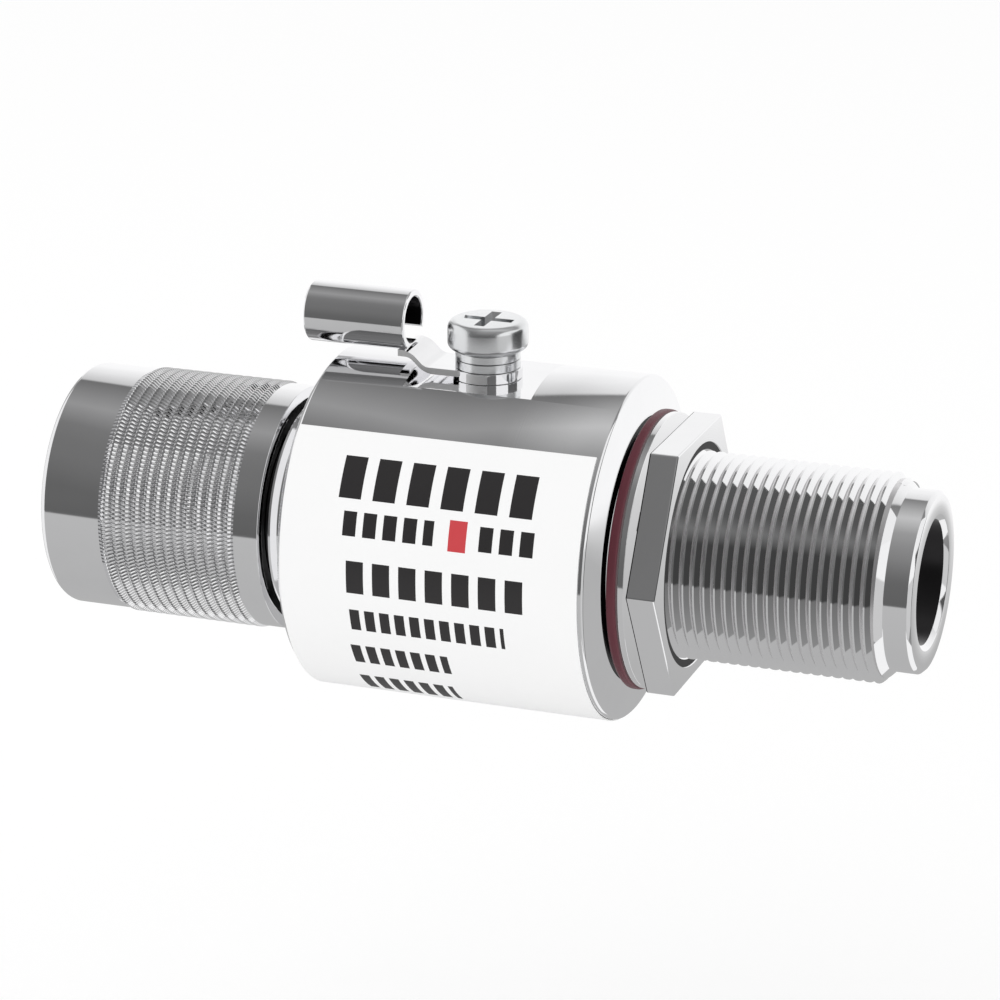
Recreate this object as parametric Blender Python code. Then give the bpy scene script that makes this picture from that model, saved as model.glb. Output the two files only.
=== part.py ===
"""Coaxial lightning arrestor: a cable plug, a housing with its gas tube, and a panel socket.

Frame: the origin is on the connector axis, in the plane of the housing's panel face.
+X points to the socket end, +Z to the ground screw, and the label faces -Y.
All sizes are in metres.
"""

import math

import bmesh
import bpy
from mathutils import Matrix, Vector

# Clearances between pieces
SEAT_GAP = 0.0003
THREAD_GAP = 0.00015
FINE_GAP = 0.0001
SKIN_GAP = 0.00005

# Roundness: sides of a turned shape
LARGE_SIDES = 64
NUT_SIDES = 40
SMALL_SIDES = 28
TINY_SIDES = 24

# Housing: a drum with a flat seat on top and a threaded barrel for the panel
BODY_RADIUS = 0.01325
BODY_LENGTH = 0.0248
RIM_CHAMFER = 0.0004
BARREL_RADIUS = 0.0079375
THREAD_LENGTH = 0.0195
THREAD_PITCH = 0.00081
THREAD_DEPTH = 0.00048
BARREL_LENGTH = 0.0226
PILOT_RADIUS = 0.0069
PILOT_CHAMFER = 0.0003

# Bores of the housing, from the socket end inwards
MOUTH_RADIUS = 0.0051
SOCKET_BORE_RADIUS = 0.00475
SOCKET_DEPTH = 0.009
LINE_RADIUS = 0.0035
LINE_LENGTH = 0.0056
CHAMBER_RADIUS = 0.005
SPIGOT_RADIUS = 0.008
SPIGOT_LENGTH = 0.0059

# Flat seat for the ground lug
SCREW_SETBACK = 0.01223
SEAT_DEPTH = 0.00085
SEAT_WIDTH = 0.01025

# Plug body: slotted outer contact, shoulder, nut journal and collar
COLLAR_LENGTH = 0.0026
COLLAR_RADIUS = 0.0086
JOURNAL_RADIUS = 0.007
JOURNAL_LENGTH = 0.0066
SLEEVE_LENGTH = 0.0079
SLEEVE_RADIUS = 0.00415
SLEEVE_TIP_CHAMFER = 0.0003
FINGER_SLOT_WIDTH = 0.0004
FINGER_SLOT_LENGTH = 0.0052
FINGER_SLOT_COUNT = 6

# Coupling nut
NUT_GAP = 0.0004
NUT_LENGTH = 0.0185
NUT_RADIUS = 0.0096
NUT_FRONT_FILLET = 0.0005
NUT_REAR_CHAMFER = 0.0004
NUT_THREAD_RADIUS = 0.0077
NUT_MOUTH_CHAMFER = 0.0004
KNURL_START = 0.00515
KNURL_LENGTH = 0.0112
KNURL_ROWS = 13
KNURL_RISE = 0.00015
KNURL_DEPTH = 0.0003
NUT_FLANGE_LENGTH = 0.0056

# Snap ring between the nut and its journal
RING_THICKNESS = 0.0008
RING_INNER_RADIUS = 0.0063
RING_OUTER_RADIUS = 0.0078
RING_SETBACK = 0.0035
RING_SPLIT = 0.0025
RING_GROOVE_SLACK = 0.0002

# Face gasket in the nut
FACE_GASKET_THICKNESS = 0.0008
FACE_GASKET_RADIUS = 0.0071

# Centre line: pin, through conductor, socket contact and their insulators
CONDUCTOR_RADIUS = 0.00152
PIN_LENGTH = 0.0083
PIN_TIP_RADIUS = 0.00082
PIN_TIP_LENGTH = 0.0037
PIN_TAPER = 0.0008
PIN_NOSE = 0.0005
PLUG_INSULATOR_SETBACK = 0.001
PLUG_INSULATOR_LENGTH = 0.0091
SOCKET_INSULATOR_LENGTH = 0.0099
CONTACT_LAP = 0.0015
PIN_LAP = 0.001
CONTACT_RECESS = 0.005
CONTACT_BORE_RADIUS = 0.00088
CONTACT_BORE_DEPTH = 0.0056
CONTACT_SLOT_WIDTH = 0.0003
CONTACT_SLOT_LENGTH = 0.0045
CONTACT_TIP_CHAMFER = 0.00025
CONTACT_SLOT_COUNT = 4

# Gas discharge tube, behind the label, on the +Y side
TUBE_RADIUS = 0.004
ELECTRODE_THICKNESS = 0.0009
ELECTRODE_BOSS_RADIUS = 0.002
ELECTRODE_SPACING = 0.0013
CERAMIC_RADIUS = 0.0039
CERAMIC_BORE_RADIUS = 0.0027

# Spring, seal and screw cap over the gas tube
SPRING_HEIGHT = 0.0011
SPRING_RADIUS = 0.0034
SPRING_TOP_RADIUS = 0.0016
SPRING_THICKNESS = 0.0002
SEAL_WIRE_RADIUS = 0.00035
SEAL_RING_RADIUS = 0.00445
LEDGE_RISE = 0.0005
CAP_RADIUS = 0.0048
CAP_RECESS = 0.00105
CAP_THICKNESS = 0.00308
CAP_CHAMFER = 0.0003
CAP_SLOT_WIDTH = 0.0012
CAP_SLOT_DEPTH = 0.0013

# Panel hardware on the barrel
GASKET_THICKNESS = 0.00095
GASKET_WIDTH = 0.0028
GASKET_ROUND = 0.00025
WASHER_THICKNESS = 0.00045
WASHER_WIDTH = 0.00266
WASHER_TOOTH_LENGTH = 0.00086
WASHER_TEETH = 16
HEX_NUT_THICKNESS = 0.00224
HEX_NUT_WALL = 0.0015875
HEX_NUT_COUNTERSINK = 0.0006

# Ground screw and its two washers
HEAD_RADIUS = 0.0031
HEAD_TOP_RADIUS = 0.0025
HEAD_HEIGHT = 0.0023
HEAD_UNDER_ROUND = 0.0003
SHANK_RADIUS = 0.00145
SHANK_LENGTH = 0.0059
RECESS_LENGTH = 0.0045
RECESS_WIDTH = 0.0008
RECESS_DEPTH = 0.0012
RECESS_TAPER = 0.45
SCREW_WASHER_RADIUS = 0.0025
FLAT_WASHER_THICKNESS = 0.0005
SPRING_WASHER_THICKNESS = 0.0006
SPRING_WASHER_SPLIT = 0.0004
SPRING_WASHER_SLANT = math.radians(25)

# Ground lug: a ring, a tongue stepped over the housing, and a rolled crimp barrel
SHEET = 0.0008
LUG_RING_RADIUS = 0.00265
LUG_TONGUE_HALF_WIDTH = 0.002
LUG_STEP_RISE = 0.0005
LUG_STEP_LENGTH = 0.0012
LUG_LAP = 0.0014
CRIMP_RADIUS = 0.0024
CRIMP_LENGTH = 0.0091
CRIMP_START = 0.0063
CRIMP_OPEN_FROM = math.radians(20)
CRIMP_OPEN_TO = math.radians(62)
CRIMP_SIDES = 22

# Label: a thin wrap, its angles counted from +Z towards -Y
LABEL_THICKNESS = 0.0001
LABEL_MARGIN_LEFT = 0.00005
LABEL_MARGIN_RIGHT = 0.0004
LABEL_FROM = math.radians(42)
LABEL_TO = math.radians(215)

# Places worked out from the sizes
BODY_LEFT = -BODY_LENGTH
SCREW_X = BODY_LEFT + SCREW_SETBACK
SEAT_HEIGHT = BODY_RADIUS - SEAT_DEPTH
SOCKET_PLANE = BARREL_LENGTH - SOCKET_DEPTH
INSULATOR_STOP = SOCKET_PLANE - LINE_LENGTH
CHAMBER_LEFT = BODY_LEFT + SPIGOT_LENGTH + SEAT_GAP
SHOULDER_X = BODY_LEFT - COLLAR_LENGTH - JOURNAL_LENGTH
SLEEVE_TIP = SHOULDER_X - SLEEVE_LENGTH
PLUG_INSULATOR_STOP = SHOULDER_X + PLUG_INSULATOR_SETBACK
NUT_REAR = BODY_LEFT - COLLAR_LENGTH - NUT_GAP
NUT_FRONT = NUT_REAR - NUT_LENGTH
RING_X = NUT_REAR - RING_SETBACK
CONDUCTOR_LEFT = PLUG_INSULATOR_STOP + PIN_LAP
CONTACT_LEFT = INSULATOR_STOP - CONTACT_LAP
CONTACT_TIP = BARREL_LENGTH - CONTACT_RECESS
CONDUCTOR_RIGHT = CONTACT_LEFT - SEAT_GAP
CAP_FACE = BODY_RADIUS - CAP_RECESS
CAP_UNDERSIDE = CAP_FACE - CAP_THICKNESS
LEDGE = CAP_UNDERSIDE - 2 * SEAL_WIRE_RADIUS - 2 * FINE_GAP
TUBE_BOTTOM = CONDUCTOR_RADIUS + SEAT_GAP
TUBE_TOP = LEDGE - LEDGE_RISE
ELECTRODE_BOSS_HEIGHT = (TUBE_TOP - TUBE_BOTTOM - ELECTRODE_SPACING) / 2 - ELECTRODE_THICKNESS
TUBE_WELL_RADIUS = TUBE_RADIUS + THREAD_GAP
CAP_WELL_RADIUS = CAP_RADIUS + THREAD_GAP
GASKET_X = SEAT_GAP
WASHER_X = GASKET_X + GASKET_THICKNESS + THREAD_GAP
HEX_NUT_X = WASHER_X + WASHER_THICKNESS + SEAT_GAP
HARDWARE_BORE = BARREL_RADIUS + FINE_GAP
GASKET_RADIUS = BARREL_RADIUS + GASKET_WIDTH
WASHER_RADIUS = BARREL_RADIUS + WASHER_WIDTH
LUG_BOTTOM = SEAT_HEIGHT + FINE_GAP
LUG_TOP = LUG_BOTTOM + SHEET
FLAT_WASHER_Z = LUG_TOP + FINE_GAP
SPRING_WASHER_Z = FLAT_WASHER_Z + FLAT_WASHER_THICKNESS + SKIN_GAP
HEAD_Z = SPRING_WASHER_Z + SPRING_WASHER_THICKNESS + SKIN_GAP
SHANK_END = HEAD_Z - SHANK_LENGTH
SCREW_HOLE_RADIUS = SHANK_RADIUS + THREAD_GAP
SCREW_AXIS = Vector((SCREW_X, 0, 0))

# Metals, plastics and the label: colour, metallic, roughness
FINISHES = {
    "bright_nickel": ((0.80, 0.80, 0.81), 1.0, 0.12),
    "zinc_plate": ((0.72, 0.73, 0.75), 1.0, 0.30),
    "tin_plate": ((0.82, 0.82, 0.83), 1.0, 0.15),
    "gold_plate": ((0.83, 0.62, 0.27), 1.0, 0.20),
    "spring_bronze": ((0.62, 0.42, 0.24), 1.0, 0.30),
    "red_silicone": ((0.24, 0.03, 0.05), 0.0, 0.50),
    "black_rubber": ((0.02, 0.02, 0.02), 0.0, 0.60),
    "white_ptfe": ((0.88, 0.88, 0.86), 0.0, 0.45),
    "tube_ceramic": ((0.86, 0.84, 0.80), 0.0, 0.35),
    "white_label": ((0.90, 0.90, 0.90), 0.0, 0.40),
}


def clear_scene():
    for item in list(bpy.data.objects):
        bpy.data.objects.remove(item, do_unlink=True)


def finish(name):
    """The material of this finish, made once."""
    found = bpy.data.materials.get(name)
    if found:
        return found
    colour, metallic, roughness = FINISHES[name]
    made = bpy.data.materials.new(name)
    made.use_nodes = True
    shader = made.node_tree.nodes["Principled BSDF"]
    shader.inputs["Base Color"].default_value = (*colour, 1.0)
    shader.inputs["Metallic"].default_value = metallic
    shader.inputs["Roughness"].default_value = roughness
    return made


def add_piece(name, shape, finish_name, smooth_angle=math.radians(35)):
    """Turns a finished bmesh into a named, smooth-shaded object."""
    bmesh.ops.recalc_face_normals(shape, faces=shape.faces)
    mesh = bpy.data.meshes.new(name)
    shape.to_mesh(mesh)
    shape.free()
    mesh.shade_smooth()
    mesh.set_sharp_from_angle(angle=smooth_angle)
    piece = bpy.data.objects.new(name, mesh)
    bpy.context.collection.objects.link(piece)
    piece.data.materials.append(finish(finish_name))
    return piece


def add_cutter(name, shape):
    """A cutter or a lump to be joined: it isn't a piece of its own."""
    cutter = add_piece(name, shape, "bright_nickel")
    cutter.hide_render = True
    cutter.display_type = 'WIRE'
    return cutter


def apply_boolean(piece, other, operation):
    modifier = piece.modifiers.new(other.name, 'BOOLEAN')
    modifier.operation = operation
    modifier.solver = 'EXACT'
    modifier.object = other


def lathe(profile, sides, axis=Vector((1, 0, 0)), origin=Vector((0, 0, 0)), closed=True):
    """Turns (distance along the axis, radius) points into a solid of revolution.

    A closed profile makes a ring; an open one starts and ends on the axis.
    """
    shape = bmesh.new()
    points = [shape.verts.new((along, 0, radius)) for along, radius in profile]
    edges = [shape.edges.new(pair) for pair in zip(points, points[1:])]
    if closed:
        edges.append(shape.edges.new((points[-1], points[0])))
    bmesh.ops.spin(shape, geom=points + edges, cent=(0, 0, 0), axis=(1, 0, 0),
                   angle=math.tau, steps=sides, use_merge=True)
    bmesh.ops.remove_doubles(shape, verts=shape.verts, dist=1e-6)
    turn = Vector((1, 0, 0)).rotation_difference(axis).to_matrix().to_4x4()
    bmesh.ops.transform(shape, matrix=Matrix.Translation(origin) @ turn, verts=shape.verts)
    return shape


def rod(start, end, radius, sides, axis=Vector((1, 0, 0)), origin=Vector((0, 0, 0))):
    profile = [(start, 0), (start, radius), (end, radius), (end, 0)]
    return lathe(profile, sides, axis, origin, closed=False)


def tube(start, end, inner, outer, sides, axis=Vector((1, 0, 0)), origin=Vector((0, 0, 0))):
    profile = [(start, inner), (start, outer), (end, outer), (end, inner)]
    return lathe(profile, sides, axis, origin)


def block(low, high):
    """A box from its lowest corner to its highest."""
    shape = bmesh.new()
    size = [top - bottom for bottom, top in zip(low, high)]
    middle = [(top + bottom) / 2 for bottom, top in zip(low, high)]
    bmesh.ops.create_cube(shape, size=1)
    bmesh.ops.scale(shape, vec=size, verts=shape.verts)
    bmesh.ops.translate(shape, vec=middle, verts=shape.verts)
    return shape


def arc(centre, radius, start, end, steps):
    """Points on an arc as (across, up), its angle counted from the across axis."""
    for step in range(steps + 1):
        angle = start + (end - start) * step / steps
        yield (centre[0] + radius * math.cos(angle), centre[1] + radius * math.sin(angle))


def extrude_outline(points, depth):
    """A solid from an outline of 3D points, pushed along the depth vector."""
    shape = bmesh.new()
    face = shape.faces.new([shape.verts.new(point) for point in points])
    pushed = bmesh.ops.extrude_face_region(shape, geom=[face], use_keep_orig=True)
    moved = [item for item in pushed["geom"] if isinstance(item, bmesh.types.BMVert)]
    bmesh.ops.translate(shape, vec=depth, verts=moved)
    return shape


def radial_slots(piece, start, end, width, reach, slots):
    """Saw cuts across the axis: each makes two opposite slots."""
    cuts = slots // 2
    for index in range(cuts):
        shape = block((start, -width / 2, -reach), (end, width / 2, reach))
        turn = Matrix.Rotation(math.pi * (index + 0.5) / cuts, 4, 'X')
        bmesh.ops.transform(shape, matrix=turn, verts=shape.verts)
        cutter = add_cutter(f"{piece.name}_saw_{index}", shape)
        apply_boolean(piece, cutter, 'DIFFERENCE')


def thread_profile():
    """Valley and crest of each turn of the barrel's thread, drawn as a ring, up to its end."""
    turns = int(THREAD_LENGTH / THREAD_PITCH)
    for turn in reversed(range(turns)):
        crest = THREAD_LENGTH - turn * THREAD_PITCH
        yield (crest - THREAD_PITCH / 2, BARREL_RADIUS - THREAD_DEPTH)
        yield (crest, BARREL_RADIUS)


def make_housing():
    """A turned drum and its threaded barrel, bored through, with a seat, a hole and a well."""
    drum = [(BODY_LEFT, 0), (BODY_LEFT, BODY_RADIUS - RIM_CHAMFER),
            (BODY_LEFT + RIM_CHAMFER, BODY_RADIUS), (-RIM_CHAMFER, BODY_RADIUS),
            (0, BODY_RADIUS - RIM_CHAMFER), (0, 0)]
    housing = add_piece("housing", lathe(drum, LARGE_SIDES, closed=False), "bright_nickel")

    buried = -CHAMBER_RADIUS
    cone = BARREL_RADIUS - PILOT_RADIUS
    barrel = [(buried, 0), (buried, BARREL_RADIUS - THREAD_DEPTH), *thread_profile(),
              (THREAD_LENGTH + cone, PILOT_RADIUS),
              (BARREL_LENGTH - PILOT_CHAMFER, PILOT_RADIUS),
              (BARREL_LENGTH, PILOT_RADIUS - PILOT_CHAMFER), (BARREL_LENGTH, 0)]
    apply_boolean(housing, add_cutter("barrel", lathe(barrel, SMALL_SIDES, closed=False)),
                  'UNION')

    mouth = MOUTH_RADIUS - SOCKET_BORE_RADIUS
    spigot_bore = SPIGOT_RADIUS + FINE_GAP
    bore = [(BODY_LEFT - SEAT_GAP, 0), (BODY_LEFT - SEAT_GAP, spigot_bore),
            (CHAMBER_LEFT, spigot_bore), (CHAMBER_LEFT, CHAMBER_RADIUS),
            (INSULATOR_STOP, CHAMBER_RADIUS), (INSULATOR_STOP, LINE_RADIUS),
            (SOCKET_PLANE, LINE_RADIUS), (SOCKET_PLANE, SOCKET_BORE_RADIUS),
            (BARREL_LENGTH - mouth, SOCKET_BORE_RADIUS),
            (BARREL_LENGTH + SEAT_GAP, MOUTH_RADIUS + SEAT_GAP), (BARREL_LENGTH + SEAT_GAP, 0)]
    apply_boolean(housing, add_cutter("bore", lathe(bore, SMALL_SIDES, closed=False)),
                  'DIFFERENCE')

    half = SEAT_WIDTH / 2
    seat = block((SCREW_X - half, -BODY_RADIUS, SEAT_HEIGHT),
                 (SCREW_X + half, BODY_RADIUS, BODY_RADIUS + SHEET))
    apply_boolean(housing, add_cutter("seat_cut", seat), 'DIFFERENCE')

    hole = rod(SHANK_END - SEAT_GAP, BODY_RADIUS, SCREW_HOLE_RADIUS, TINY_SIDES,
               Vector((0, 0, 1)), SCREW_AXIS)
    apply_boolean(housing, add_cutter("screw_hole_cut", hole), 'DIFFERENCE')

    well = lathe([(0, 0), (0, TUBE_WELL_RADIUS), (LEDGE, TUBE_WELL_RADIUS),
                  (LEDGE, CAP_WELL_RADIUS), (BODY_RADIUS + SHEET, CAP_WELL_RADIUS),
                  (BODY_RADIUS + SHEET, 0)],
                 SMALL_SIDES, Vector((0, 1, 0)), SCREW_AXIS, closed=False)
    apply_boolean(housing, add_cutter("tube_well_cut", well), 'DIFFERENCE')
    return housing


def make_plug_body():
    groove = RING_THICKNESS / 2 + RING_GROOVE_SLACK
    groove_floor = RING_INNER_RADIUS - FINE_GAP
    insulator_bore = CHAMBER_RADIUS
    profile = [
        (SLEEVE_TIP, LINE_RADIUS),
        (SLEEVE_TIP, SLEEVE_RADIUS - SLEEVE_TIP_CHAMFER),
        (SLEEVE_TIP + SLEEVE_TIP_CHAMFER, SLEEVE_RADIUS),
        (SHOULDER_X, SLEEVE_RADIUS),
        (SHOULDER_X, JOURNAL_RADIUS),
        (RING_X - groove, JOURNAL_RADIUS),
        (RING_X - groove, groove_floor),
        (RING_X + groove, groove_floor),
        (RING_X + groove, JOURNAL_RADIUS),
        (BODY_LEFT - COLLAR_LENGTH, JOURNAL_RADIUS),
        (BODY_LEFT - COLLAR_LENGTH, COLLAR_RADIUS - FINE_GAP),
        (BODY_LEFT - COLLAR_LENGTH + FINE_GAP, COLLAR_RADIUS),
        (BODY_LEFT - FINE_GAP, COLLAR_RADIUS),
        (BODY_LEFT - FINE_GAP, SPIGOT_RADIUS),
        (BODY_LEFT + SPIGOT_LENGTH, SPIGOT_RADIUS),
        (BODY_LEFT + SPIGOT_LENGTH, insulator_bore),
        (PLUG_INSULATOR_STOP, insulator_bore),
        (PLUG_INSULATOR_STOP, LINE_RADIUS),
    ]
    body = add_piece("plug_body", lathe(profile, SMALL_SIDES), "bright_nickel")
    radial_slots(body, SLEEVE_TIP - SEAT_GAP, SLEEVE_TIP + FINGER_SLOT_LENGTH,
                 FINGER_SLOT_WIDTH, SLEEVE_RADIUS + SEAT_GAP, FINGER_SLOT_COUNT)
    return body


def knurl_profile(start, length, rows):
    """Ridges round the nut, valley to crest and back, as the rows of its square knurl."""
    crest = NUT_RADIUS + KNURL_RISE
    valley = crest - KNURL_DEPTH
    pitch = length / rows
    for row in range(rows):
        left = start + row * pitch
        yield (left, valley)
        yield (left + pitch / 2, crest)
    yield (start + length, valley)


def make_coupling_nut():
    groove = RING_THICKNESS / 2 + RING_GROOVE_SLACK
    groove_radius = RING_OUTER_RADIUS + FINE_GAP
    journal_bore = JOURNAL_RADIUS + FINE_GAP
    knurl_left = NUT_FRONT + KNURL_START
    fillet = [(NUT_FRONT + NUT_FRONT_FILLET * (1 - math.sin(turn)),
               NUT_RADIUS - NUT_FRONT_FILLET * (1 - math.cos(turn)))
              for turn in (math.pi / 2, math.pi / 4, 0)]
    profile = [
        (NUT_FRONT, NUT_THREAD_RADIUS + NUT_MOUTH_CHAMFER),
        *fillet,
        (knurl_left - FINE_GAP, NUT_RADIUS),
        *knurl_profile(knurl_left, KNURL_LENGTH, KNURL_ROWS),
        (knurl_left + KNURL_LENGTH + FINE_GAP, NUT_RADIUS),
        (NUT_REAR - NUT_REAR_CHAMFER, NUT_RADIUS),
        (NUT_REAR, NUT_RADIUS - NUT_REAR_CHAMFER),
        (NUT_REAR, journal_bore),
        (RING_X + groove, journal_bore),
        (RING_X + groove, groove_radius),
        (RING_X - groove, groove_radius),
        (RING_X - groove, journal_bore),
        (NUT_REAR - NUT_FLANGE_LENGTH, journal_bore),
        (NUT_REAR - NUT_FLANGE_LENGTH, NUT_THREAD_RADIUS),
        (NUT_FRONT + NUT_MOUTH_CHAMFER, NUT_THREAD_RADIUS),
    ]
    return add_piece("coupling_nut", lathe(profile, NUT_SIDES), "bright_nickel")


def make_nut_fittings():
    """The split snap ring and the soft face gasket inside the coupling nut."""
    ring = add_piece("snap_ring",
                     tube(RING_X - RING_THICKNESS / 2, RING_X + RING_THICKNESS / 2,
                          RING_INNER_RADIUS, RING_OUTER_RADIUS, SMALL_SIDES),
                     "spring_bronze")
    half = RING_SPLIT / 2
    split = block((RING_X - RING_THICKNESS, -half, RING_INNER_RADIUS / 2),
                  (RING_X + RING_THICKNESS, half, RING_OUTER_RADIUS + SEAT_GAP))
    apply_boolean(ring, add_cutter("snap_ring_split", split), 'DIFFERENCE')

    right = SHOULDER_X - FINE_GAP
    add_piece("face_gasket",
              tube(right - FACE_GASKET_THICKNESS, right, SLEEVE_RADIUS + FINE_GAP,
                   FACE_GASKET_RADIUS, SMALL_SIDES),
              "black_rubber")


def make_centre_line():
    pin_right = CONDUCTOR_LEFT - SEAT_GAP
    pin_left = pin_right - PIN_LENGTH
    pin = [
        (pin_left, 0),
        (pin_left, PIN_TIP_RADIUS - PIN_NOSE),
        (pin_left + PIN_NOSE, PIN_TIP_RADIUS),
        (pin_left + PIN_TIP_LENGTH, PIN_TIP_RADIUS),
        (pin_left + PIN_TIP_LENGTH + PIN_TAPER, CONDUCTOR_RADIUS),
        (pin_right, CONDUCTOR_RADIUS),
        (pin_right, 0),
    ]
    add_piece("pin_contact", lathe(pin, TINY_SIDES, closed=False), "gold_plate")
    add_piece("through_conductor",
              rod(CONDUCTOR_LEFT, CONDUCTOR_RIGHT, CONDUCTOR_RADIUS, TINY_SIDES),
              "gold_plate")

    bore_end = CONTACT_TIP - CONTACT_BORE_DEPTH
    socket = [
        (CONTACT_LEFT, 0),
        (CONTACT_LEFT, CONDUCTOR_RADIUS),
        (CONTACT_TIP - CONTACT_TIP_CHAMFER, CONDUCTOR_RADIUS),
        (CONTACT_TIP, CONDUCTOR_RADIUS - CONTACT_TIP_CHAMFER),
        (CONTACT_TIP, CONTACT_BORE_RADIUS),
        (bore_end, CONTACT_BORE_RADIUS),
        (bore_end, 0),
    ]
    contact = add_piece("socket_contact", lathe(socket, TINY_SIDES, closed=False), "gold_plate")
    radial_slots(contact, CONTACT_TIP - CONTACT_SLOT_LENGTH, CONTACT_TIP + SEAT_GAP,
                 CONTACT_SLOT_WIDTH, CONDUCTOR_RADIUS + SEAT_GAP, CONTACT_SLOT_COUNT)


def make_insulators():
    bore = CONDUCTOR_RADIUS + FINE_GAP
    outside = CHAMBER_RADIUS - FINE_GAP
    plug_left = PLUG_INSULATOR_STOP + SEAT_GAP
    add_piece("plug_insulator",
              tube(plug_left, plug_left + PLUG_INSULATOR_LENGTH, bore, outside, SMALL_SIDES),
              "white_ptfe")
    socket_right = INSULATOR_STOP - SEAT_GAP
    add_piece("socket_insulator",
              tube(socket_right - SOCKET_INSULATOR_LENGTH, socket_right, bore, outside,
                   SMALL_SIDES),
              "white_ptfe")


def make_gas_tube():
    """A ceramic ring between two electrodes, whose bosses face each other across the gap."""
    up = Vector((0, 1, 0))
    lower_face = TUBE_BOTTOM + ELECTRODE_THICKNESS
    upper_face = TUBE_TOP - ELECTRODE_THICKNESS
    lower = [(TUBE_BOTTOM, 0), (TUBE_BOTTOM, TUBE_RADIUS), (lower_face, TUBE_RADIUS),
             (lower_face, ELECTRODE_BOSS_RADIUS),
             (lower_face + ELECTRODE_BOSS_HEIGHT, ELECTRODE_BOSS_RADIUS),
             (lower_face + ELECTRODE_BOSS_HEIGHT, 0)]
    upper = [(TUBE_TOP, 0), (TUBE_TOP, TUBE_RADIUS), (upper_face, TUBE_RADIUS),
             (upper_face, ELECTRODE_BOSS_RADIUS),
             (upper_face - ELECTRODE_BOSS_HEIGHT, ELECTRODE_BOSS_RADIUS),
             (upper_face - ELECTRODE_BOSS_HEIGHT, 0)]
    add_piece("tube_inner_electrode",
              lathe(lower, TINY_SIDES, up, SCREW_AXIS, closed=False), "bright_nickel")
    add_piece("tube_outer_electrode",
              lathe(upper, TINY_SIDES, up, SCREW_AXIS, closed=False), "bright_nickel")
    add_piece("tube_ceramic",
              tube(lower_face + FINE_GAP, upper_face - FINE_GAP, CERAMIC_BORE_RADIUS,
                   CERAMIC_RADIUS, TINY_SIDES, up, SCREW_AXIS),
              "tube_ceramic")


def make_tube_cap():
    """The disc spring, the seal and the slotted screw cap that close the gas tube's well."""
    out = Vector((0, 1, 0))
    low = TUBE_TOP + FINE_GAP
    spring = [(low, SPRING_RADIUS), (low + SPRING_THICKNESS, SPRING_RADIUS),
              (low + SPRING_HEIGHT, SPRING_TOP_RADIUS),
              (low + SPRING_HEIGHT - SPRING_THICKNESS, SPRING_TOP_RADIUS)]
    add_piece("contact_spring", lathe(spring, TINY_SIDES, out, SCREW_AXIS), "spring_bronze")

    wire_middle = LEDGE + FINE_GAP + SEAL_WIRE_RADIUS
    wire = list(arc((wire_middle, SEAL_RING_RADIUS), SEAL_WIRE_RADIUS, 0, math.tau, 8))[:-1]
    add_piece("cap_seal", lathe(wire, SMALL_SIDES, out, SCREW_AXIS), "black_rubber")

    cap_profile = [(CAP_UNDERSIDE, 0), (CAP_UNDERSIDE, CAP_RADIUS),
                   (CAP_FACE - CAP_CHAMFER, CAP_RADIUS), (CAP_FACE, CAP_RADIUS - CAP_CHAMFER),
                   (CAP_FACE, 0)]
    cap = add_piece("tube_cap", lathe(cap_profile, SMALL_SIDES, out, SCREW_AXIS, closed=False),
                    "bright_nickel")
    slot = block((SCREW_X - CAP_RADIUS - SEAT_GAP, CAP_FACE - CAP_SLOT_DEPTH,
                  -CAP_SLOT_WIDTH / 2),
                 (SCREW_X + CAP_RADIUS + SEAT_GAP, CAP_FACE + SEAT_GAP, CAP_SLOT_WIDTH / 2))
    apply_boolean(cap, add_cutter("cap_slot", slot), 'DIFFERENCE')


def make_panel_gasket():
    right = GASKET_X + GASKET_THICKNESS
    profile = [(GASKET_X, HARDWARE_BORE), (GASKET_X, GASKET_RADIUS - GASKET_ROUND),
               (GASKET_X + GASKET_ROUND, GASKET_RADIUS), (right - GASKET_ROUND, GASKET_RADIUS),
               (right, GASKET_RADIUS - GASKET_ROUND), (right, HARDWARE_BORE)]
    add_piece("panel_gasket", lathe(profile, NUT_SIDES), "red_silicone")


def make_lock_washer():
    """An internal-tooth washer: the inner edge steps in and out, one tooth in four points."""
    shape = bmesh.new()
    points = 4 * WASHER_TEETH
    rings = []
    for index in range(points):
        angle = math.tau * index / points
        inner = HARDWARE_BORE if index % 4 < 2 else HARDWARE_BORE + WASHER_TOOTH_LENGTH
        rings.append([shape.verts.new((WASHER_X, radius * math.sin(angle),
                                       radius * math.cos(angle)))
                      for radius in (inner, WASHER_RADIUS)])
    faces = [shape.faces.new((*here, *reversed(there)))
             for here, there in zip(rings, rings[1:] + rings[:1])]
    pushed = bmesh.ops.extrude_face_region(shape, geom=faces, use_keep_orig=True)
    moved = [item for item in pushed["geom"] if isinstance(item, bmesh.types.BMVert)]
    bmesh.ops.translate(shape, vec=(WASHER_THICKNESS, 0, 0), verts=moved)
    add_piece("lock_washer", shape, "bright_nickel")


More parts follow.
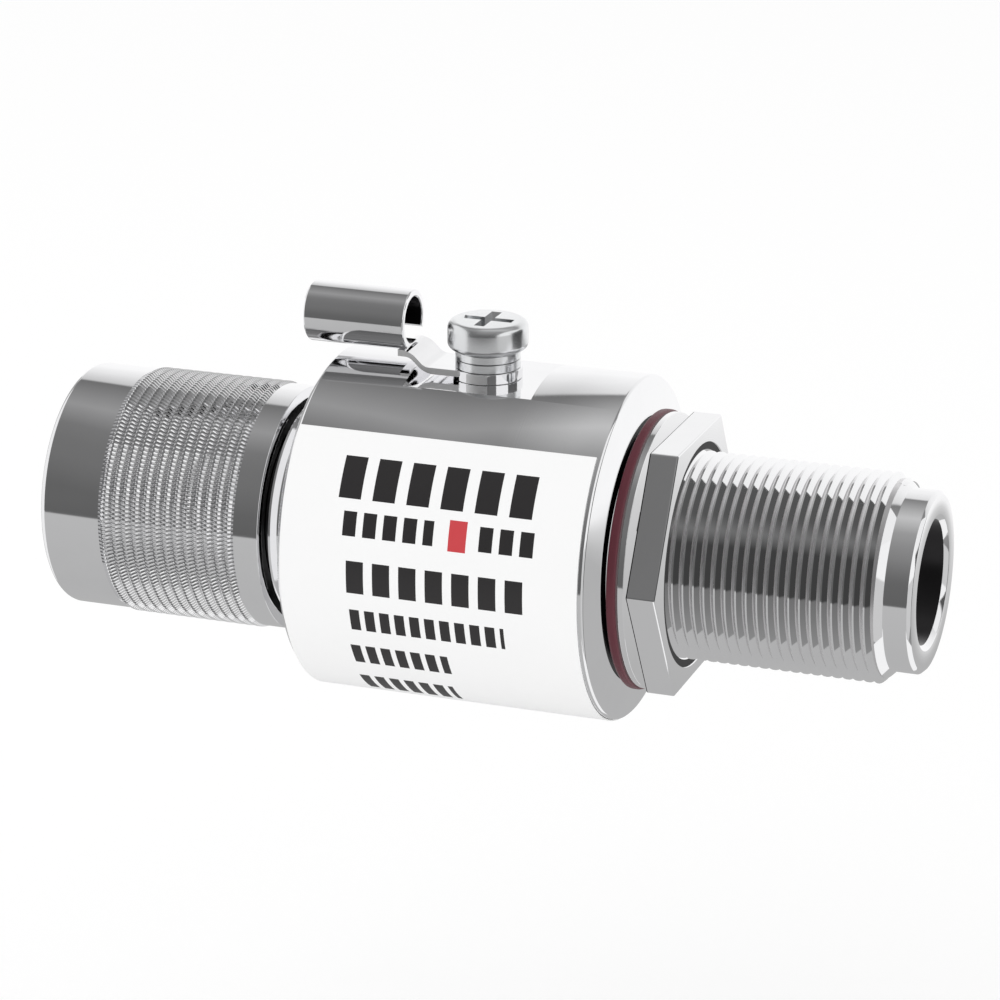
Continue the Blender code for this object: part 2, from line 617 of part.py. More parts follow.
def make_hex_nut():
    corner_radius = (BARREL_RADIUS + HEX_NUT_WALL) / math.cos(math.pi / 6)
    right = HEX_NUT_X + HEX_NUT_THICKNESS
    outline = [(HEX_NUT_X, corner_radius * math.sin(angle), corner_radius * math.cos(angle))
               for angle in (math.pi / 6 + index * math.pi / 3 for index in range(6))]
    nut = add_piece("hex_nut", extrude_outline(outline, (HEX_NUT_THICKNESS, 0, 0)),
                    "bright_nickel")
    wide = HARDWARE_BORE + HEX_NUT_COUNTERSINK
    bore = lathe([(HEX_NUT_X - SEAT_GAP, 0), (HEX_NUT_X - SEAT_GAP, wide + SEAT_GAP),
                  (HEX_NUT_X + HEX_NUT_COUNTERSINK, HARDWARE_BORE),
                  (right - HEX_NUT_COUNTERSINK, HARDWARE_BORE),
                  (right + SEAT_GAP, wide + SEAT_GAP), (right + SEAT_GAP, 0)],
                 NUT_SIDES, closed=False)
    apply_boolean(nut, add_cutter("hex_nut_bore", bore), 'DIFFERENCE')


def cross_recess_arm(turn):
    """One tapered arm pair of the cross recess, cut down from the head's top."""
    top = HEAD_Z + HEAD_HEIGHT + SEAT_GAP
    shape = block((-RECESS_LENGTH / 2, -RECESS_WIDTH / 2, top - RECESS_DEPTH - SEAT_GAP),
                  (RECESS_LENGTH / 2, RECESS_WIDTH / 2, top))
    floor = [vert for vert in shape.verts if vert.co.z < top - RECESS_DEPTH / 2]
    bmesh.ops.scale(shape, vec=(RECESS_TAPER, 1, 1), verts=floor)
    place = Matrix.Translation(SCREW_AXIS) @ Matrix.Rotation(turn, 4, 'Z')
    bmesh.ops.transform(shape, matrix=place, verts=shape.verts)
    return shape


def make_ground_screw():
    top = HEAD_Z + HEAD_HEIGHT
    crown = HEAD_RADIUS - HEAD_TOP_RADIUS
    shoulder = [(top - crown * (1 - math.sin(turn)), HEAD_TOP_RADIUS + crown * math.cos(turn))
                for turn in (0, math.pi / 6, math.pi / 3, math.pi / 2)]
    profile = [
        (SHANK_END, 0),
        (SHANK_END, SHANK_RADIUS),
        (HEAD_Z, SHANK_RADIUS),
        (HEAD_Z, HEAD_RADIUS - HEAD_UNDER_ROUND),
        (HEAD_Z + HEAD_UNDER_ROUND, HEAD_RADIUS),
        *shoulder,
        (top, 0),
    ]
    up = Vector((0, 0, 1))
    screw = add_piece("ground_screw", lathe(profile, SMALL_SIDES, up, SCREW_AXIS, closed=False),
                      "zinc_plate")
    for index, turn in enumerate((0, math.pi / 2)):
        arm = add_cutter(f"recess_arm_{index}", cross_recess_arm(turn))
        apply_boolean(screw, arm, 'DIFFERENCE')

    bore = SHANK_RADIUS + FINE_GAP
    add_piece("flat_washer",
              tube(FLAT_WASHER_Z, FLAT_WASHER_Z + FLAT_WASHER_THICKNESS, bore,
                   SCREW_WASHER_RADIUS, SMALL_SIDES, up, SCREW_AXIS),
              "zinc_plate")
    spring = add_piece("spring_washer",
                       tube(SPRING_WASHER_Z, SPRING_WASHER_Z + SPRING_WASHER_THICKNESS, bore,
                            SCREW_WASHER_RADIUS, SMALL_SIDES, up, SCREW_AXIS),
                       "zinc_plate")
    half = SPRING_WASHER_SPLIT / 2
    split = block((-half, 0, -SPRING_WASHER_THICKNESS),
                  (half, SCREW_WASHER_RADIUS + SEAT_GAP, SPRING_WASHER_THICKNESS))
    middle = SPRING_WASHER_Z + SPRING_WASHER_THICKNESS / 2
    place = (Matrix.Translation(SCREW_AXIS + Vector((0, 0, middle)))
             @ Matrix.Rotation(SPRING_WASHER_SLANT, 4, 'Y'))
    bmesh.ops.transform(split, matrix=place, verts=split.verts)
    apply_boolean(spring, add_cutter("spring_washer_split", split), 'DIFFERENCE')


def crimp_outline(x, centre_z):
    """The rolled sheet seen from its end: a C that opens low at the back."""
    start = CRIMP_OPEN_FROM - math.pi / 2
    end = CRIMP_OPEN_TO - math.pi / 2 - math.tau
    outer = list(arc((0, centre_z), CRIMP_RADIUS, start, end, CRIMP_SIDES))
    inner = list(arc((0, centre_z), CRIMP_RADIUS - SHEET, end, start, CRIMP_SIDES))
    return [(x, across, up) for across, up in outer + inner]


def make_ground_lug():
    """Ring, stepped tongue and crimp barrel, joined as one bent and rolled sheet."""
    upper_bottom = LUG_BOTTOM + BODY_RADIUS - SEAT_HEIGHT + LUG_STEP_RISE - FINE_GAP
    barrel_right = SCREW_X - CRIMP_START
    barrel_left = barrel_right - CRIMP_LENGTH
    step_right = SCREW_X - SEAT_WIDTH / 2 + LUG_STEP_LENGTH
    step_left = step_right - LUG_STEP_LENGTH
    tongue_left = barrel_right - LUG_LAP
    side = [
        (SCREW_X, LUG_BOTTOM), (step_right, LUG_BOTTOM), (step_left, upper_bottom),
        (tongue_left, upper_bottom), (tongue_left, upper_bottom + SHEET),
        (step_left, upper_bottom + SHEET), (step_right, LUG_TOP), (SCREW_X, LUG_TOP),
    ]
    tongue = [(x, -LUG_TONGUE_HALF_WIDTH, z) for x, z in side]
    lug = add_piece("ground_lug",
                    extrude_outline(tongue, (0, 2 * LUG_TONGUE_HALF_WIDTH, 0)), "tin_plate")

    up = Vector((0, 0, 1))
    ring = add_cutter("lug_ring", rod(LUG_BOTTOM, LUG_TOP, LUG_RING_RADIUS, SMALL_SIDES, up,
                                      SCREW_AXIS))
    apply_boolean(lug, ring, 'UNION')
    rolled = extrude_outline(crimp_outline(barrel_left, upper_bottom + CRIMP_RADIUS),
                             (CRIMP_LENGTH, 0, 0))
    apply_boolean(lug, add_cutter("lug_crimp_barrel", rolled), 'UNION')
    eye = rod(LUG_BOTTOM - SEAT_GAP, LUG_TOP + SEAT_GAP, SCREW_HOLE_RADIUS, TINY_SIDES, up,
              SCREW_AXIS)
    apply_boolean(lug, add_cutter("lug_eye", eye), 'DIFFERENCE')


def make_label():
    inner = BODY_RADIUS + SKIN_GAP
    outer = inner + LABEL_THICKNESS
    left = BODY_LEFT + RIM_CHAMFER + LABEL_MARGIN_LEFT
    right = -RIM_CHAMFER - LABEL_MARGIN_RIGHT
    shape = bmesh.new()
    corners = [shape.verts.new((x, 0, radius))
               for x, radius in ((left, inner), (right, inner), (right, outer), (left, outer))]
    edges = [shape.edges.new(pair) for pair in zip(corners, corners[1:] + corners[:1])]
    start = Matrix.Rotation(LABEL_FROM, 4, 'X')
    bmesh.ops.transform(shape, matrix=start, verts=shape.verts)
    steps = round(LARGE_SIDES * (LABEL_TO - LABEL_FROM) / math.tau)
    bmesh.ops.spin(shape, geom=corners + edges, cent=(0, 0, 0), axis=(1, 0, 0),
                   angle=LABEL_TO - LABEL_FROM, steps=steps)
    bmesh.ops.holes_fill(shape, edges=[edge for edge in shape.edges if edge.is_boundary],
                         sides=4)
    add_piece("label", shape, "white_label")


def main():
    clear_scene()
    make_housing()
    make_plug_body()
    make_coupling_nut()
    make_nut_fittings()
    make_centre_line()
    make_insulators()
    make_gas_tube()
    make_tube_cap()
    make_panel_gasket()
    make_lock_washer()
    make_hex_nut()
    make_ground_screw()
    make_ground_lug()
    make_label()


main()
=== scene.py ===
"""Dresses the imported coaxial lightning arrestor: fine geometry, finishes, studio and camera.

All sizes are in metres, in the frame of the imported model: +X to the socket end, +Z to the
ground screw, and the origin on the connector axis in the plane of the panel face.
"""

import math

import bmesh
import bpy
from mathutils import Matrix, Vector


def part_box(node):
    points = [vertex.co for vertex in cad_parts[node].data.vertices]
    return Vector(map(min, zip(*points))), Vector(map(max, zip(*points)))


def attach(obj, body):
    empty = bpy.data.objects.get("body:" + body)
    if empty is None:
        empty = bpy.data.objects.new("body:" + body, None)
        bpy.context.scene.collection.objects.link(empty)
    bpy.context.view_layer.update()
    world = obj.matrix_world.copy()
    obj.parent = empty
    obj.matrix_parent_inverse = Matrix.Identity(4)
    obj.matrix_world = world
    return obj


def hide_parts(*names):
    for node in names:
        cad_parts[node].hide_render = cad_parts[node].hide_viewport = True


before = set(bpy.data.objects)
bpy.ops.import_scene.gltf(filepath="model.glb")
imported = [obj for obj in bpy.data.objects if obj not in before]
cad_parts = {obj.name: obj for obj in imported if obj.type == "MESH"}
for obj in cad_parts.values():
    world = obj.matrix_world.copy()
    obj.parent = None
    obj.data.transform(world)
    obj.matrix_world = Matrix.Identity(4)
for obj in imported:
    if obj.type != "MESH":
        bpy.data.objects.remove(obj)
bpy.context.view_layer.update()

# Sides of a turned shape, and the angle below which an edge is shaded smooth
DRUM_SIDES = 288
NUT_SIDES = 540
BARREL_SIDES = 192
SCREW_SIDES = 96
WIRE_SIDES = 64
SMOOTH_ANGLE = math.radians(14)
EASE_STEPS = 3
ROUND_STEPS = 9
LEAST_ROUND = 0.0002
MERGE = 1e-7

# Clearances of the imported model
SEAT_GAP = 0.0003
THREAD_GAP = 0.00015
FINE_GAP = 0.0001

# Edge breaks
SHARP_EDGE = 0.00004
SOFT_EDGE = 0.0001

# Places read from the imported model
drum_low, drum_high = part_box("housing")
DRUM_LEFT = drum_low.x
BARREL_END = drum_high.x
DRUM_RADIUS = -drum_low.y
screw_low, screw_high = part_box("ground_screw")
SCREW_X = (screw_low.x + screw_high.x) / 2
HEAD_RADIUS = (screw_high.x - screw_low.x) / 2
nut_low, nut_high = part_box("coupling_nut")
NUT_FRONT = nut_low.x
NUT_REAR = nut_high.x
KNURL_CREST = -nut_low.y
ring_low, ring_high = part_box("snap_ring")
RING_MIDDLE = (ring_low.x + ring_high.x) / 2
plug_low, plug_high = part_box("plug_body")
SLEEVE_TIP = plug_low.x
SPIGOT_END = plug_high.x
shoulder_low, shoulder_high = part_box("face_gasket")
SHOULDER_X = shoulder_high.x + FINE_GAP
SCREW_AXIS = Vector((SCREW_X, 0, 0))

# Housing
RIM_CHAMFER = 0.0004
FACE_DISH = 0.0004
FACE_EDGE = 0.00015
FACE_LAND = 0.0002
GROOVE_WIDTH = 0.0012
GROOVE_DEPTH = 0.0003
GROOVE_INSET = 0.0005
WEB = 0.0001
BARREL_RADIUS = 0.0079375
THREAD_END = 0.0195
PILOT_RADIUS = 0.0069
PILOT_CHAMFER = 0.0003
MOUTH_RADIUS = 0.0051
SOCKET_BORE_RADIUS = 0.00475
SOCKET_PLANE = BARREL_END - 0.009
LINE_RADIUS = 0.0035
INSULATOR_STOP = SOCKET_PLANE - 0.0056
CHAMBER_RADIUS = 0.005
SPIGOT_BORE = 0.0081
SEAT_HEIGHT = 0.0124
SEAT_HALF_WIDTH = 0.005125

# Threads: crest, depth and pitch
PANEL_PITCH = 0.00081
PANEL_DEPTH = 0.00048
SCREW_PITCH = 0.0005
SCREW_DEPTH = 0.0003
SHANK_RADIUS = 0.00145
CREST_FLAT = 0.16
ROOT_FLAT = 0.10

# Coupling nut and its knurl
NUT_RADIUS = 0.0096
NUT_THREAD_RADIUS = 0.0077
NUT_MOUTH_CHAMFER = 0.0004
NUT_FRONT_ROUND = 0.0005
NUT_REAR_LAND = 0.0008
NUT_REAR_DISH = 0.00006
NUT_REAR_RECESS = 0.0005
NUT_FLANGE_LENGTH = 0.0056
KNURL_START = 0.00515
KNURL_LENGTH = 0.0112
KNURL_ROWS = 13
KNURL_DEPTH = 0.00034
KNURL_NOTCH = 0.00016
KNURL_TOOTH_LINES = 3
KNURL_CREST_HALF = 0.13
RING_GROOVE_HALF = 0.0006
RING_GROOVE_RADIUS = 0.0079
JOURNAL_RADIUS = 0.007

# Plug body
COLLAR_LENGTH = 0.0026
COLLAR_RADIUS = 0.0086
COLLAR_CHAMFER = 0.00038
COLLAR_LAND = 0.0002
SPIGOT_RADIUS = 0.008
SLEEVE_RADIUS = 0.00415
SLOT_LENGTH = 0.0052
SLOT_WIDTH = 0.0004
PLUG_INSULATOR_STOP = SHOULDER_X + 0.001
RING_SPLIT = 0.0025

# Contacts
PIN_TIP_RADIUS = 0.00082
PIN_TIP_LENGTH = 0.0037
PIN_TAPER = 0.0008
PIN_NOSE = 0.0005
CONTACT_BORE_RADIUS = 0.00088
CONTACT_BORE_DEPTH = 0.0056
CONTACT_SLOT_WIDTH = 0.0003
CONTACT_SLOT_LENGTH = 0.0045

# Tube cap
CAP_SLOT_WIDTH = 0.0012
CAP_SLOT_DEPTH = 0.0013

# Panel hardware
GASKET_INSET = 0.00022
GASKET_ROUND = 0.0002
WASHER_TOOTH_LENGTH = 0.0005
WASHER_TEETH = 16
HEX_COUNTERSINK = 0.0006
HEX_EDGE = 0.00012
HEX_SHADE_DEPTH = 0.00012

# Ground screw and its washers
SKIN_GAP = 0.00005
REST_GAP = 0.00002
HEAD_UNDER_ROUND = 0.0006
HEAD_TOP_ROUND = 0.00065
RECESS_LENGTH = 0.0045
RECESS_WIDTH = 0.0008
RECESS_DEPTH = 0.0012
RECESS_TAPER = 0.45
WASHER_SPLIT = 0.0004
WASHER_SLANT = math.radians(25)

# Ground lug
SHEET = 0.0008
SHEET_EDGE = 0.00012
LUG_NECK_HALF_WIDTH = 0.0021
LUG_NECK_HEIGHT = 0.0005
LUG_STEP_START = 0.0056
LUG_STEP_LENGTH = 0.0012
LUG_LAP = 0.0005
LUG_BEND = 0.00035
CRIMP_SHEET = 0.00055
CRIMP_RADIUS = 0.00233
CRIMP_START = 0.00605
CRIMP_LENGTH = 0.0082
CRIMP_OPEN_FROM = math.radians(20)
CRIMP_OPEN_TO = math.radians(62)
CRIMP_STEPS = 72

# Label
LABEL_THICKNESS = 0.0001
LABEL_FROM = math.radians(42)
LABEL_TO = math.radians(215)
LABEL_STEPS = 144


def new_piece(name, shape, finishes, body, stands_for=(), smooth=SMOOTH_ANGLE):
    """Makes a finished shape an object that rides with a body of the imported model."""
    bmesh.ops.recalc_face_normals(shape, faces=shape.faces)
    mesh = bpy.data.meshes.new(name)
    shape.to_mesh(mesh)
    shape.free()
    mesh.shade_smooth()
    mesh.set_sharp_from_angle(angle=smooth)
    made = bpy.data.objects.new(name, mesh)
    bpy.context.collection.objects.link(made)
    for finish in finishes:
        mesh.materials.append(finish)
    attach(made, body)
    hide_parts(*stands_for)
    return made


def face_along(shape, axis, origin):
    """Turns a shape that was made round X to another axis, and puts it in its place."""
    turn = Vector((1, 0, 0)).rotation_difference(Vector(axis)).to_matrix().to_4x4()
    bmesh.ops.transform(shape, matrix=Matrix.Translation(origin) @ turn, verts=shape.verts)


def turned(outline, sides, axis=(1, 0, 0), origin=(0, 0, 0), closed=True):
    """Spins an outline of (along, radius, edge break) corners round its axis."""
    shape = bmesh.new()
    corners = [shape.verts.new((along, 0, radius)) for along, radius, _ in outline]
    for pair in zip(corners, corners[1:]):
        shape.edges.new(pair)
    if closed:
        shape.edges.new((corners[-1], corners[0]))
    for corner, (_, _, ease) in zip(corners, outline):
        if ease:
            steps = ROUND_STEPS if ease > LEAST_ROUND else EASE_STEPS
            bmesh.ops.bevel(shape, geom=[corner], offset=ease, offset_type='OFFSET',
                            affect='VERTICES', segments=steps, profile=0.5, material=-1)
    bmesh.ops.spin(shape, geom=shape.verts[:] + shape.edges[:], cent=(0, 0, 0),
                   axis=(1, 0, 0), angle=math.tau, steps=sides, use_merge=True)
    bmesh.ops.remove_doubles(shape, verts=shape.verts, dist=MERGE)
    face_along(shape, axis, origin)
    return shape


def block(low, high):
    """A box from its lowest corner to its highest."""
    shape = bmesh.new()
    bmesh.ops.create_cube(shape, size=1)
    bmesh.ops.scale(shape, vec=Vector(high) - Vector(low), verts=shape.verts)
    bmesh.ops.translate(shape, vec=(Vector(high) + Vector(low)) / 2, verts=shape.verts)
    return shape


def cut(piece, tools, smooth=SMOOTH_ANGLE, operation='DIFFERENCE'):
    """Cuts the tools out of the piece, or joins them to it, and drops the tools."""
    cutters = []
    for index, tool in enumerate(tools):
        bmesh.ops.recalc_face_normals(tool, faces=tool.faces)
        mesh = bpy.data.meshes.new(f"{piece.name}_cutter_{index}")
        tool.to_mesh(mesh)
        tool.free()
        cutter = bpy.data.objects.new(mesh.name, mesh)
        bpy.context.collection.objects.link(cutter)
        modifier = piece.modifiers.new(mesh.name, 'BOOLEAN')
        modifier.operation = operation
        modifier.solver = 'EXACT'
        modifier.object = cutter
        cutters.append(cutter)
    depsgraph = bpy.context.evaluated_depsgraph_get()
    result = bpy.data.meshes.new_from_object(piece.evaluated_get(depsgraph))
    piece.modifiers.clear()
    piece.data = result
    result.shade_smooth()
    result.set_sharp_from_angle(angle=smooth)
    for cutter in cutters:
        bpy.data.objects.remove(cutter)


def screw_thread(crest, depth, pitch, start, end, relief, sides, axis=(1, 0, 0),
                 origin=(0, 0, 0)):
    """Whole turns of a ridge back from the end, trimmed by a chamfer of the given length."""
    shape = bmesh.new()
    root = crest - depth
    foot = root - depth / 4
    flat = pitch * CREST_FLAT / 2
    base = pitch * (1 - ROOT_FLAT) / 2
    turns = int((end - start) / pitch)
    start = end - turns * pitch
    section = [(-base, foot), (-base, root), (-flat, crest), (flat, crest), (base, root),
               (base, foot)]
    corners = [shape.verts.new((start + along, 0, radius)) for along, radius in section]
    edges = [shape.edges.new(pair) for pair in zip(corners, corners[1:] + corners[:1])]
    bmesh.ops.spin(shape, geom=corners + edges, cent=(0, 0, 0), axis=(1, 0, 0),
                   dvec=(pitch / sides, 0, 0), angle=math.tau, steps=sides)
    turn = shape.verts[:] + shape.edges[:] + shape.faces[:]
    for count in range(1, turns):
        copy = bmesh.ops.duplicate(shape, geom=turn)["geom"]
        bmesh.ops.translate(shape, vec=(count * pitch, 0, 0),
                            verts=[item for item in copy if isinstance(item, bmesh.types.BMVert)])
    bmesh.ops.remove_doubles(shape, verts=shape.verts, dist=MERGE)
    bmesh.ops.holes_fill(shape, edges=[edge for edge in shape.edges if edge.is_boundary],
                         sides=len(section))
    for vert in shape.verts:
        radius = math.hypot(vert.co.y, vert.co.z)
        room = min(vert.co.x - start, end - vert.co.x)
        allowed = min(radius, max(root + depth * room / relief, foot))
        vert.co.y *= allowed / radius
        vert.co.z *= allowed / radius
    face_along(shape, axis, origin)
    return shape


# Finishes

def tree_of(name):
    """A new material with its Principled shader, ready for more nodes."""
    material = bpy.data.materials.new(name)
    material.use_nodes = True
    tree = material.node_tree
    return material, tree, tree.nodes["Principled BSDF"]


def place(tree, kind, **settings):
    node = tree.nodes.new(kind)
    for name, value in settings.items():
        setattr(node, name, value)
    return node


def group_shell(name, inputs, outputs):
    """An empty node group with named float inputs and outputs."""
    group = bpy.data.node_groups.new(name, 'ShaderNodeTree')
    for label, kind, value in inputs:
        socket = group.interface.new_socket(label, in_out='INPUT', socket_type=kind)
        socket.default_value = value
    for label, kind in outputs:
        group.interface.new_socket(label, in_out='OUTPUT', socket_type=kind)
    return group, group.nodes.new('NodeGroupInput'), group.nodes.new('NodeGroupOutput')


def make_turning_marks():
    """Fine lathe lines round the X axis: they follow the length, or the radius on an end face."""
    group, entry, out = group_shell(
        "turning_marks",
        [("Place", 'NodeSocketVector', (0, 0, 0)), ("Lines per metre", 'NodeSocketFloat', 12000)],
        [("Lines", 'NodeSocketFloat'), ("Bands", 'NodeSocketFloat')])
    split = place(group, 'ShaderNodeSeparateXYZ')
    radial = place(group, 'ShaderNodeCombineXYZ')
    length = place(group, 'ShaderNodeVectorMath', operation='LENGTH')
    travel = place(group, 'ShaderNodeMath', operation='ADD')
    count = place(group, 'ShaderNodeMath', operation='MULTIPLY')
    fine = place(group, 'ShaderNodeTexNoise', noise_dimensions='1D')
    fine.inputs["Scale"].default_value = 1
    fine.inputs["Detail"].default_value = 3
    coarse = place(group, 'ShaderNodeTexNoise', noise_dimensions='1D')
    coarse.inputs["Scale"].default_value = 0.04
    coarse.inputs["Detail"].default_value = 2
    links = group.links
    links.new(entry.outputs["Place"], split.inputs[0])
    links.new(split.outputs["Y"], radial.inputs["Y"])
    links.new(split.outputs["Z"], radial.inputs["Z"])
    links.new(radial.outputs[0], length.inputs[0])
    links.new(split.outputs["X"], travel.inputs[0])
    links.new(length.outputs["Value"], travel.inputs[1])
    links.new(travel.outputs[0], count.inputs[0])
    links.new(entry.outputs["Lines per metre"], count.inputs[1])
    links.new(count.outputs[0], fine.inputs["W"])
    links.new(count.outputs[0], coarse.inputs["W"])
    links.new(fine.outputs["Fac"], out.inputs["Lines"])
    links.new(coarse.outputs["Fac"], out.inputs["Bands"])
    return group


def make_handling():
    """Soft patches of handling, where a bright surface has lost a little of its gloss."""
    group, entry, out = group_shell(
        "handling",
        [("Place", 'NodeSocketVector', (0, 0, 0)), ("Patches per metre", 'NodeSocketFloat', 160)],
        [("Dulling", 'NodeSocketFloat'), ("Specks", 'NodeSocketFloat')])
    patches = place(group, 'ShaderNodeTexNoise')
    patches.inputs["Detail"].default_value = 4
    patches.inputs["Roughness"].default_value = 0.6
    spread = place(group, 'ShaderNodeMapRange')
    spread.inputs["From Min"].default_value = 0.45
    spread.inputs["From Max"].default_value = 0.75
    finer = place(group, 'ShaderNodeMath', operation='MULTIPLY')
    finer.inputs[1].default_value = 18
    specks = place(group, 'ShaderNodeTexNoise')
    specks.inputs["Detail"].default_value = 2
    sparse = place(group, 'ShaderNodeMapRange')
    sparse.inputs["From Min"].default_value = 0.62
    sparse.inputs["From Max"].default_value = 0.75
    links = group.links
    links.new(entry.outputs["Place"], patches.inputs["Vector"])
    links.new(entry.outputs["Patches per metre"], patches.inputs["Scale"])
    links.new(entry.outputs["Patches per metre"], finer.inputs[0])
    links.new(entry.outputs["Place"], specks.inputs["Vector"])
    links.new(finer.outputs[0], specks.inputs["Scale"])
    links.new(patches.outputs["Fac"], spread.inputs["Value"])
    links.new(specks.outputs["Fac"], sparse.inputs["Value"])
    links.new(spread.outputs["Result"], out.inputs["Dulling"])
    links.new(sparse.outputs["Result"], out.inputs["Specks"])
    return group


def metal(name, colour, worn_colour, roughness, worn_roughness, turn=(0, 0, 0), centre=(0, 0, 0),
          lines=12000, relief=0.0000006):
    """A plated metal: its lathe lines, and patches where handling has dulled it."""
    material, tree, shader = tree_of(name)
    shader.inputs["Metallic"].default_value = 1
    links = tree.links
    where = place(tree, 'ShaderNodeTexCoord')
    aligned = place(tree, 'ShaderNodeMapping', vector_type='TEXTURE')
    aligned.inputs["Location"].default_value = centre
    aligned.inputs["Rotation"].default_value = turn
    links.new(where.outputs["Object"], aligned.inputs["Vector"])
    marks = place(tree, 'ShaderNodeGroup', node_tree=turning_marks)
    marks.inputs["Lines per metre"].default_value = lines
    links.new(aligned.outputs[0], marks.inputs["Place"])
    touched = place(tree, 'ShaderNodeGroup', node_tree=handling)
    links.new(where.outputs["Object"], touched.inputs["Place"])
    tint = place(tree, 'ShaderNodeMix', data_type='RGBA')
    tint.inputs["A"].default_value = (*colour, 1)
    tint.inputs["B"].default_value = (*worn_colour, 1)
    links.new(touched.outputs["Dulling"], tint.inputs["Factor"])
    links.new(tint.outputs["Result"], shader.inputs["Base Color"])
    dull = place(tree, 'ShaderNodeMath', operation='MAXIMUM')
    links.new(touched.outputs["Dulling"], dull.inputs[0])
    links.new(marks.outputs["Bands"], dull.inputs[1])
    gloss = place(tree, 'ShaderNodeMapRange')
    gloss.inputs["To Min"].default_value = roughness
    gloss.inputs["To Max"].default_value = worn_roughness
    links.new(dull.outputs[0], gloss.inputs["Value"])
    links.new(gloss.outputs["Result"], shader.inputs["Roughness"])
    bump = place(tree, 'ShaderNodeBump')
    bump.inputs["Distance"].default_value = relief
    links.new(marks.outputs["Lines"], bump.inputs["Height"])
    links.new(bump.outputs["Normal"], shader.inputs["Normal"])
    return material


def moulded(name, colour, shade, roughness, grain_size, relief):
    """A moulded or turned plastic, rubber or ceramic with a fine grain."""
    material, tree, shader = tree_of(name)
    links = tree.links
    where = place(tree, 'ShaderNodeTexCoord')
    grain = place(tree, 'ShaderNodeTexNoise')
    grain.inputs["Scale"].default_value = 1 / grain_size
    grain.inputs["Detail"].default_value = 4
    cloud = place(tree, 'ShaderNodeTexNoise')
    cloud.inputs["Scale"].default_value = 0.06 / grain_size
    links.new(where.outputs["Object"], grain.inputs["Vector"])
    links.new(where.outputs["Object"], cloud.inputs["Vector"])
    tint = place(tree, 'ShaderNodeMix', data_type='RGBA')
    tint.inputs["A"].default_value = (*colour, 1)
    tint.inputs["B"].default_value = (*shade, 1)
    links.new(cloud.outputs["Fac"], tint.inputs["Factor"])
    links.new(tint.outputs["Result"], shader.inputs["Base Color"])
    gloss = place(tree, 'ShaderNodeMapRange')
    gloss.inputs["To Min"].default_value = roughness - 0.08
    gloss.inputs["To Max"].default_value = roughness + 0.08
    links.new(grain.outputs["Fac"], gloss.inputs["Value"])
    links.new(gloss.outputs["Result"], shader.inputs["Roughness"])
    bump = place(tree, 'ShaderNodeBump')
    bump.inputs["Distance"].default_value = relief
    links.new(grain.outputs["Fac"], bump.inputs["Height"])
    links.new(bump.outputs["Normal"], shader.inputs["Normal"])
    return material


# Rows of plain blocks on the label: start, end, degrees down from the top, and block length
PRINT_ROWS = [
    (-0.0200, -0.0042, 51, 65, 0.0027),
    (-0.0194, -0.0122, 69, 77, 0.0016),
    (-0.0086, -0.0042, 69, 77, 0.0016),
    (-0.0190, -0.0044, 85, 96, 0.0021),
    (-0.0189, -0.0066, 102, 110, 0.0012),
    (-0.0193, -0.0115, 117, 126, 0.0012),
    (-0.0196, -0.0120, 135, 148, 0.0012),
]
PRINT_BLOCK = 0.66
PRINT_ACCENT = (-0.0110, -0.0096, 68, 78)


def make_label_print():
    """Rows of blocks round the X axis, and one accent block between two of them."""
    group, entry, out = group_shell(
        "label_print", [("Place", 'NodeSocketVector', (0, 0, 0))],
        [("Blocks", 'NodeSocketFloat'), ("Accent", 'NodeSocketFloat')])
    links = group.links
    split = place(group, 'ShaderNodeSeparateXYZ')
    links.new(entry.outputs["Place"], split.inputs[0])

    def step(operation, *values):
        node = place(group, 'ShaderNodeMath', operation=operation)
        for socket, value in zip(node.inputs, values):
            if isinstance(value, (int, float)):
                socket.default_value = value
            else:
                links.new(value, socket)
        return node.outputs[0]

    x = split.outputs["X"]
    turn = step('ARCTAN2', step('MULTIPLY', split.outputs["Y"], -1), split.outputs["Z"])

    def field(left, right, upper, lower):
        upper, lower = math.radians(upper), math.radians(lower)
        along = step('COMPARE', x, (left + right) / 2, (right - left) / 2)
        across = step('COMPARE', turn, (upper + lower) / 2, (lower - upper) / 2)
        return step('MULTIPLY', along, across)

    blocks = None
    for left, right, upper, lower, length in PRINT_ROWS:
        beat = step('FRACT', step('DIVIDE', step('SUBTRACT', x, left), length))
        row = step('MULTIPLY', field(left, right, upper, lower),
                   step('LESS_THAN', beat, PRINT_BLOCK))
        blocks = row if blocks is None else step('MAXIMUM', blocks, row)
    links.new(blocks, out.inputs["Blocks"])
    links.new(field(*PRINT_ACCENT), out.inputs["Accent"])
    return group


def add_label_print(material):
    """Dark ink and one red accent over the film's own colour."""
    tree = material.node_tree
    links = tree.links
    base = tree.nodes["Principled BSDF"].inputs["Base Color"]
    film = base.links[0].from_socket
    where = place(tree, 'ShaderNodeTexCoord')
    marks = place(tree, 'ShaderNodeGroup', node_tree=label_print)
    links.new(where.outputs["Object"], marks.inputs["Place"])
    for mask, ink in (("Blocks", (0.022, 0.020, 0.021, 1)), ("Accent", (0.62, 0.05, 0.06, 1))):
        inked = place(tree, 'ShaderNodeMix', data_type='RGBA')
        inked.inputs["B"].default_value = ink
        links.new(marks.outputs[mask], inked.inputs["Factor"])
        links.new(film, inked.inputs["A"])
        film = inked.outputs["Result"]
    links.new(film, base)


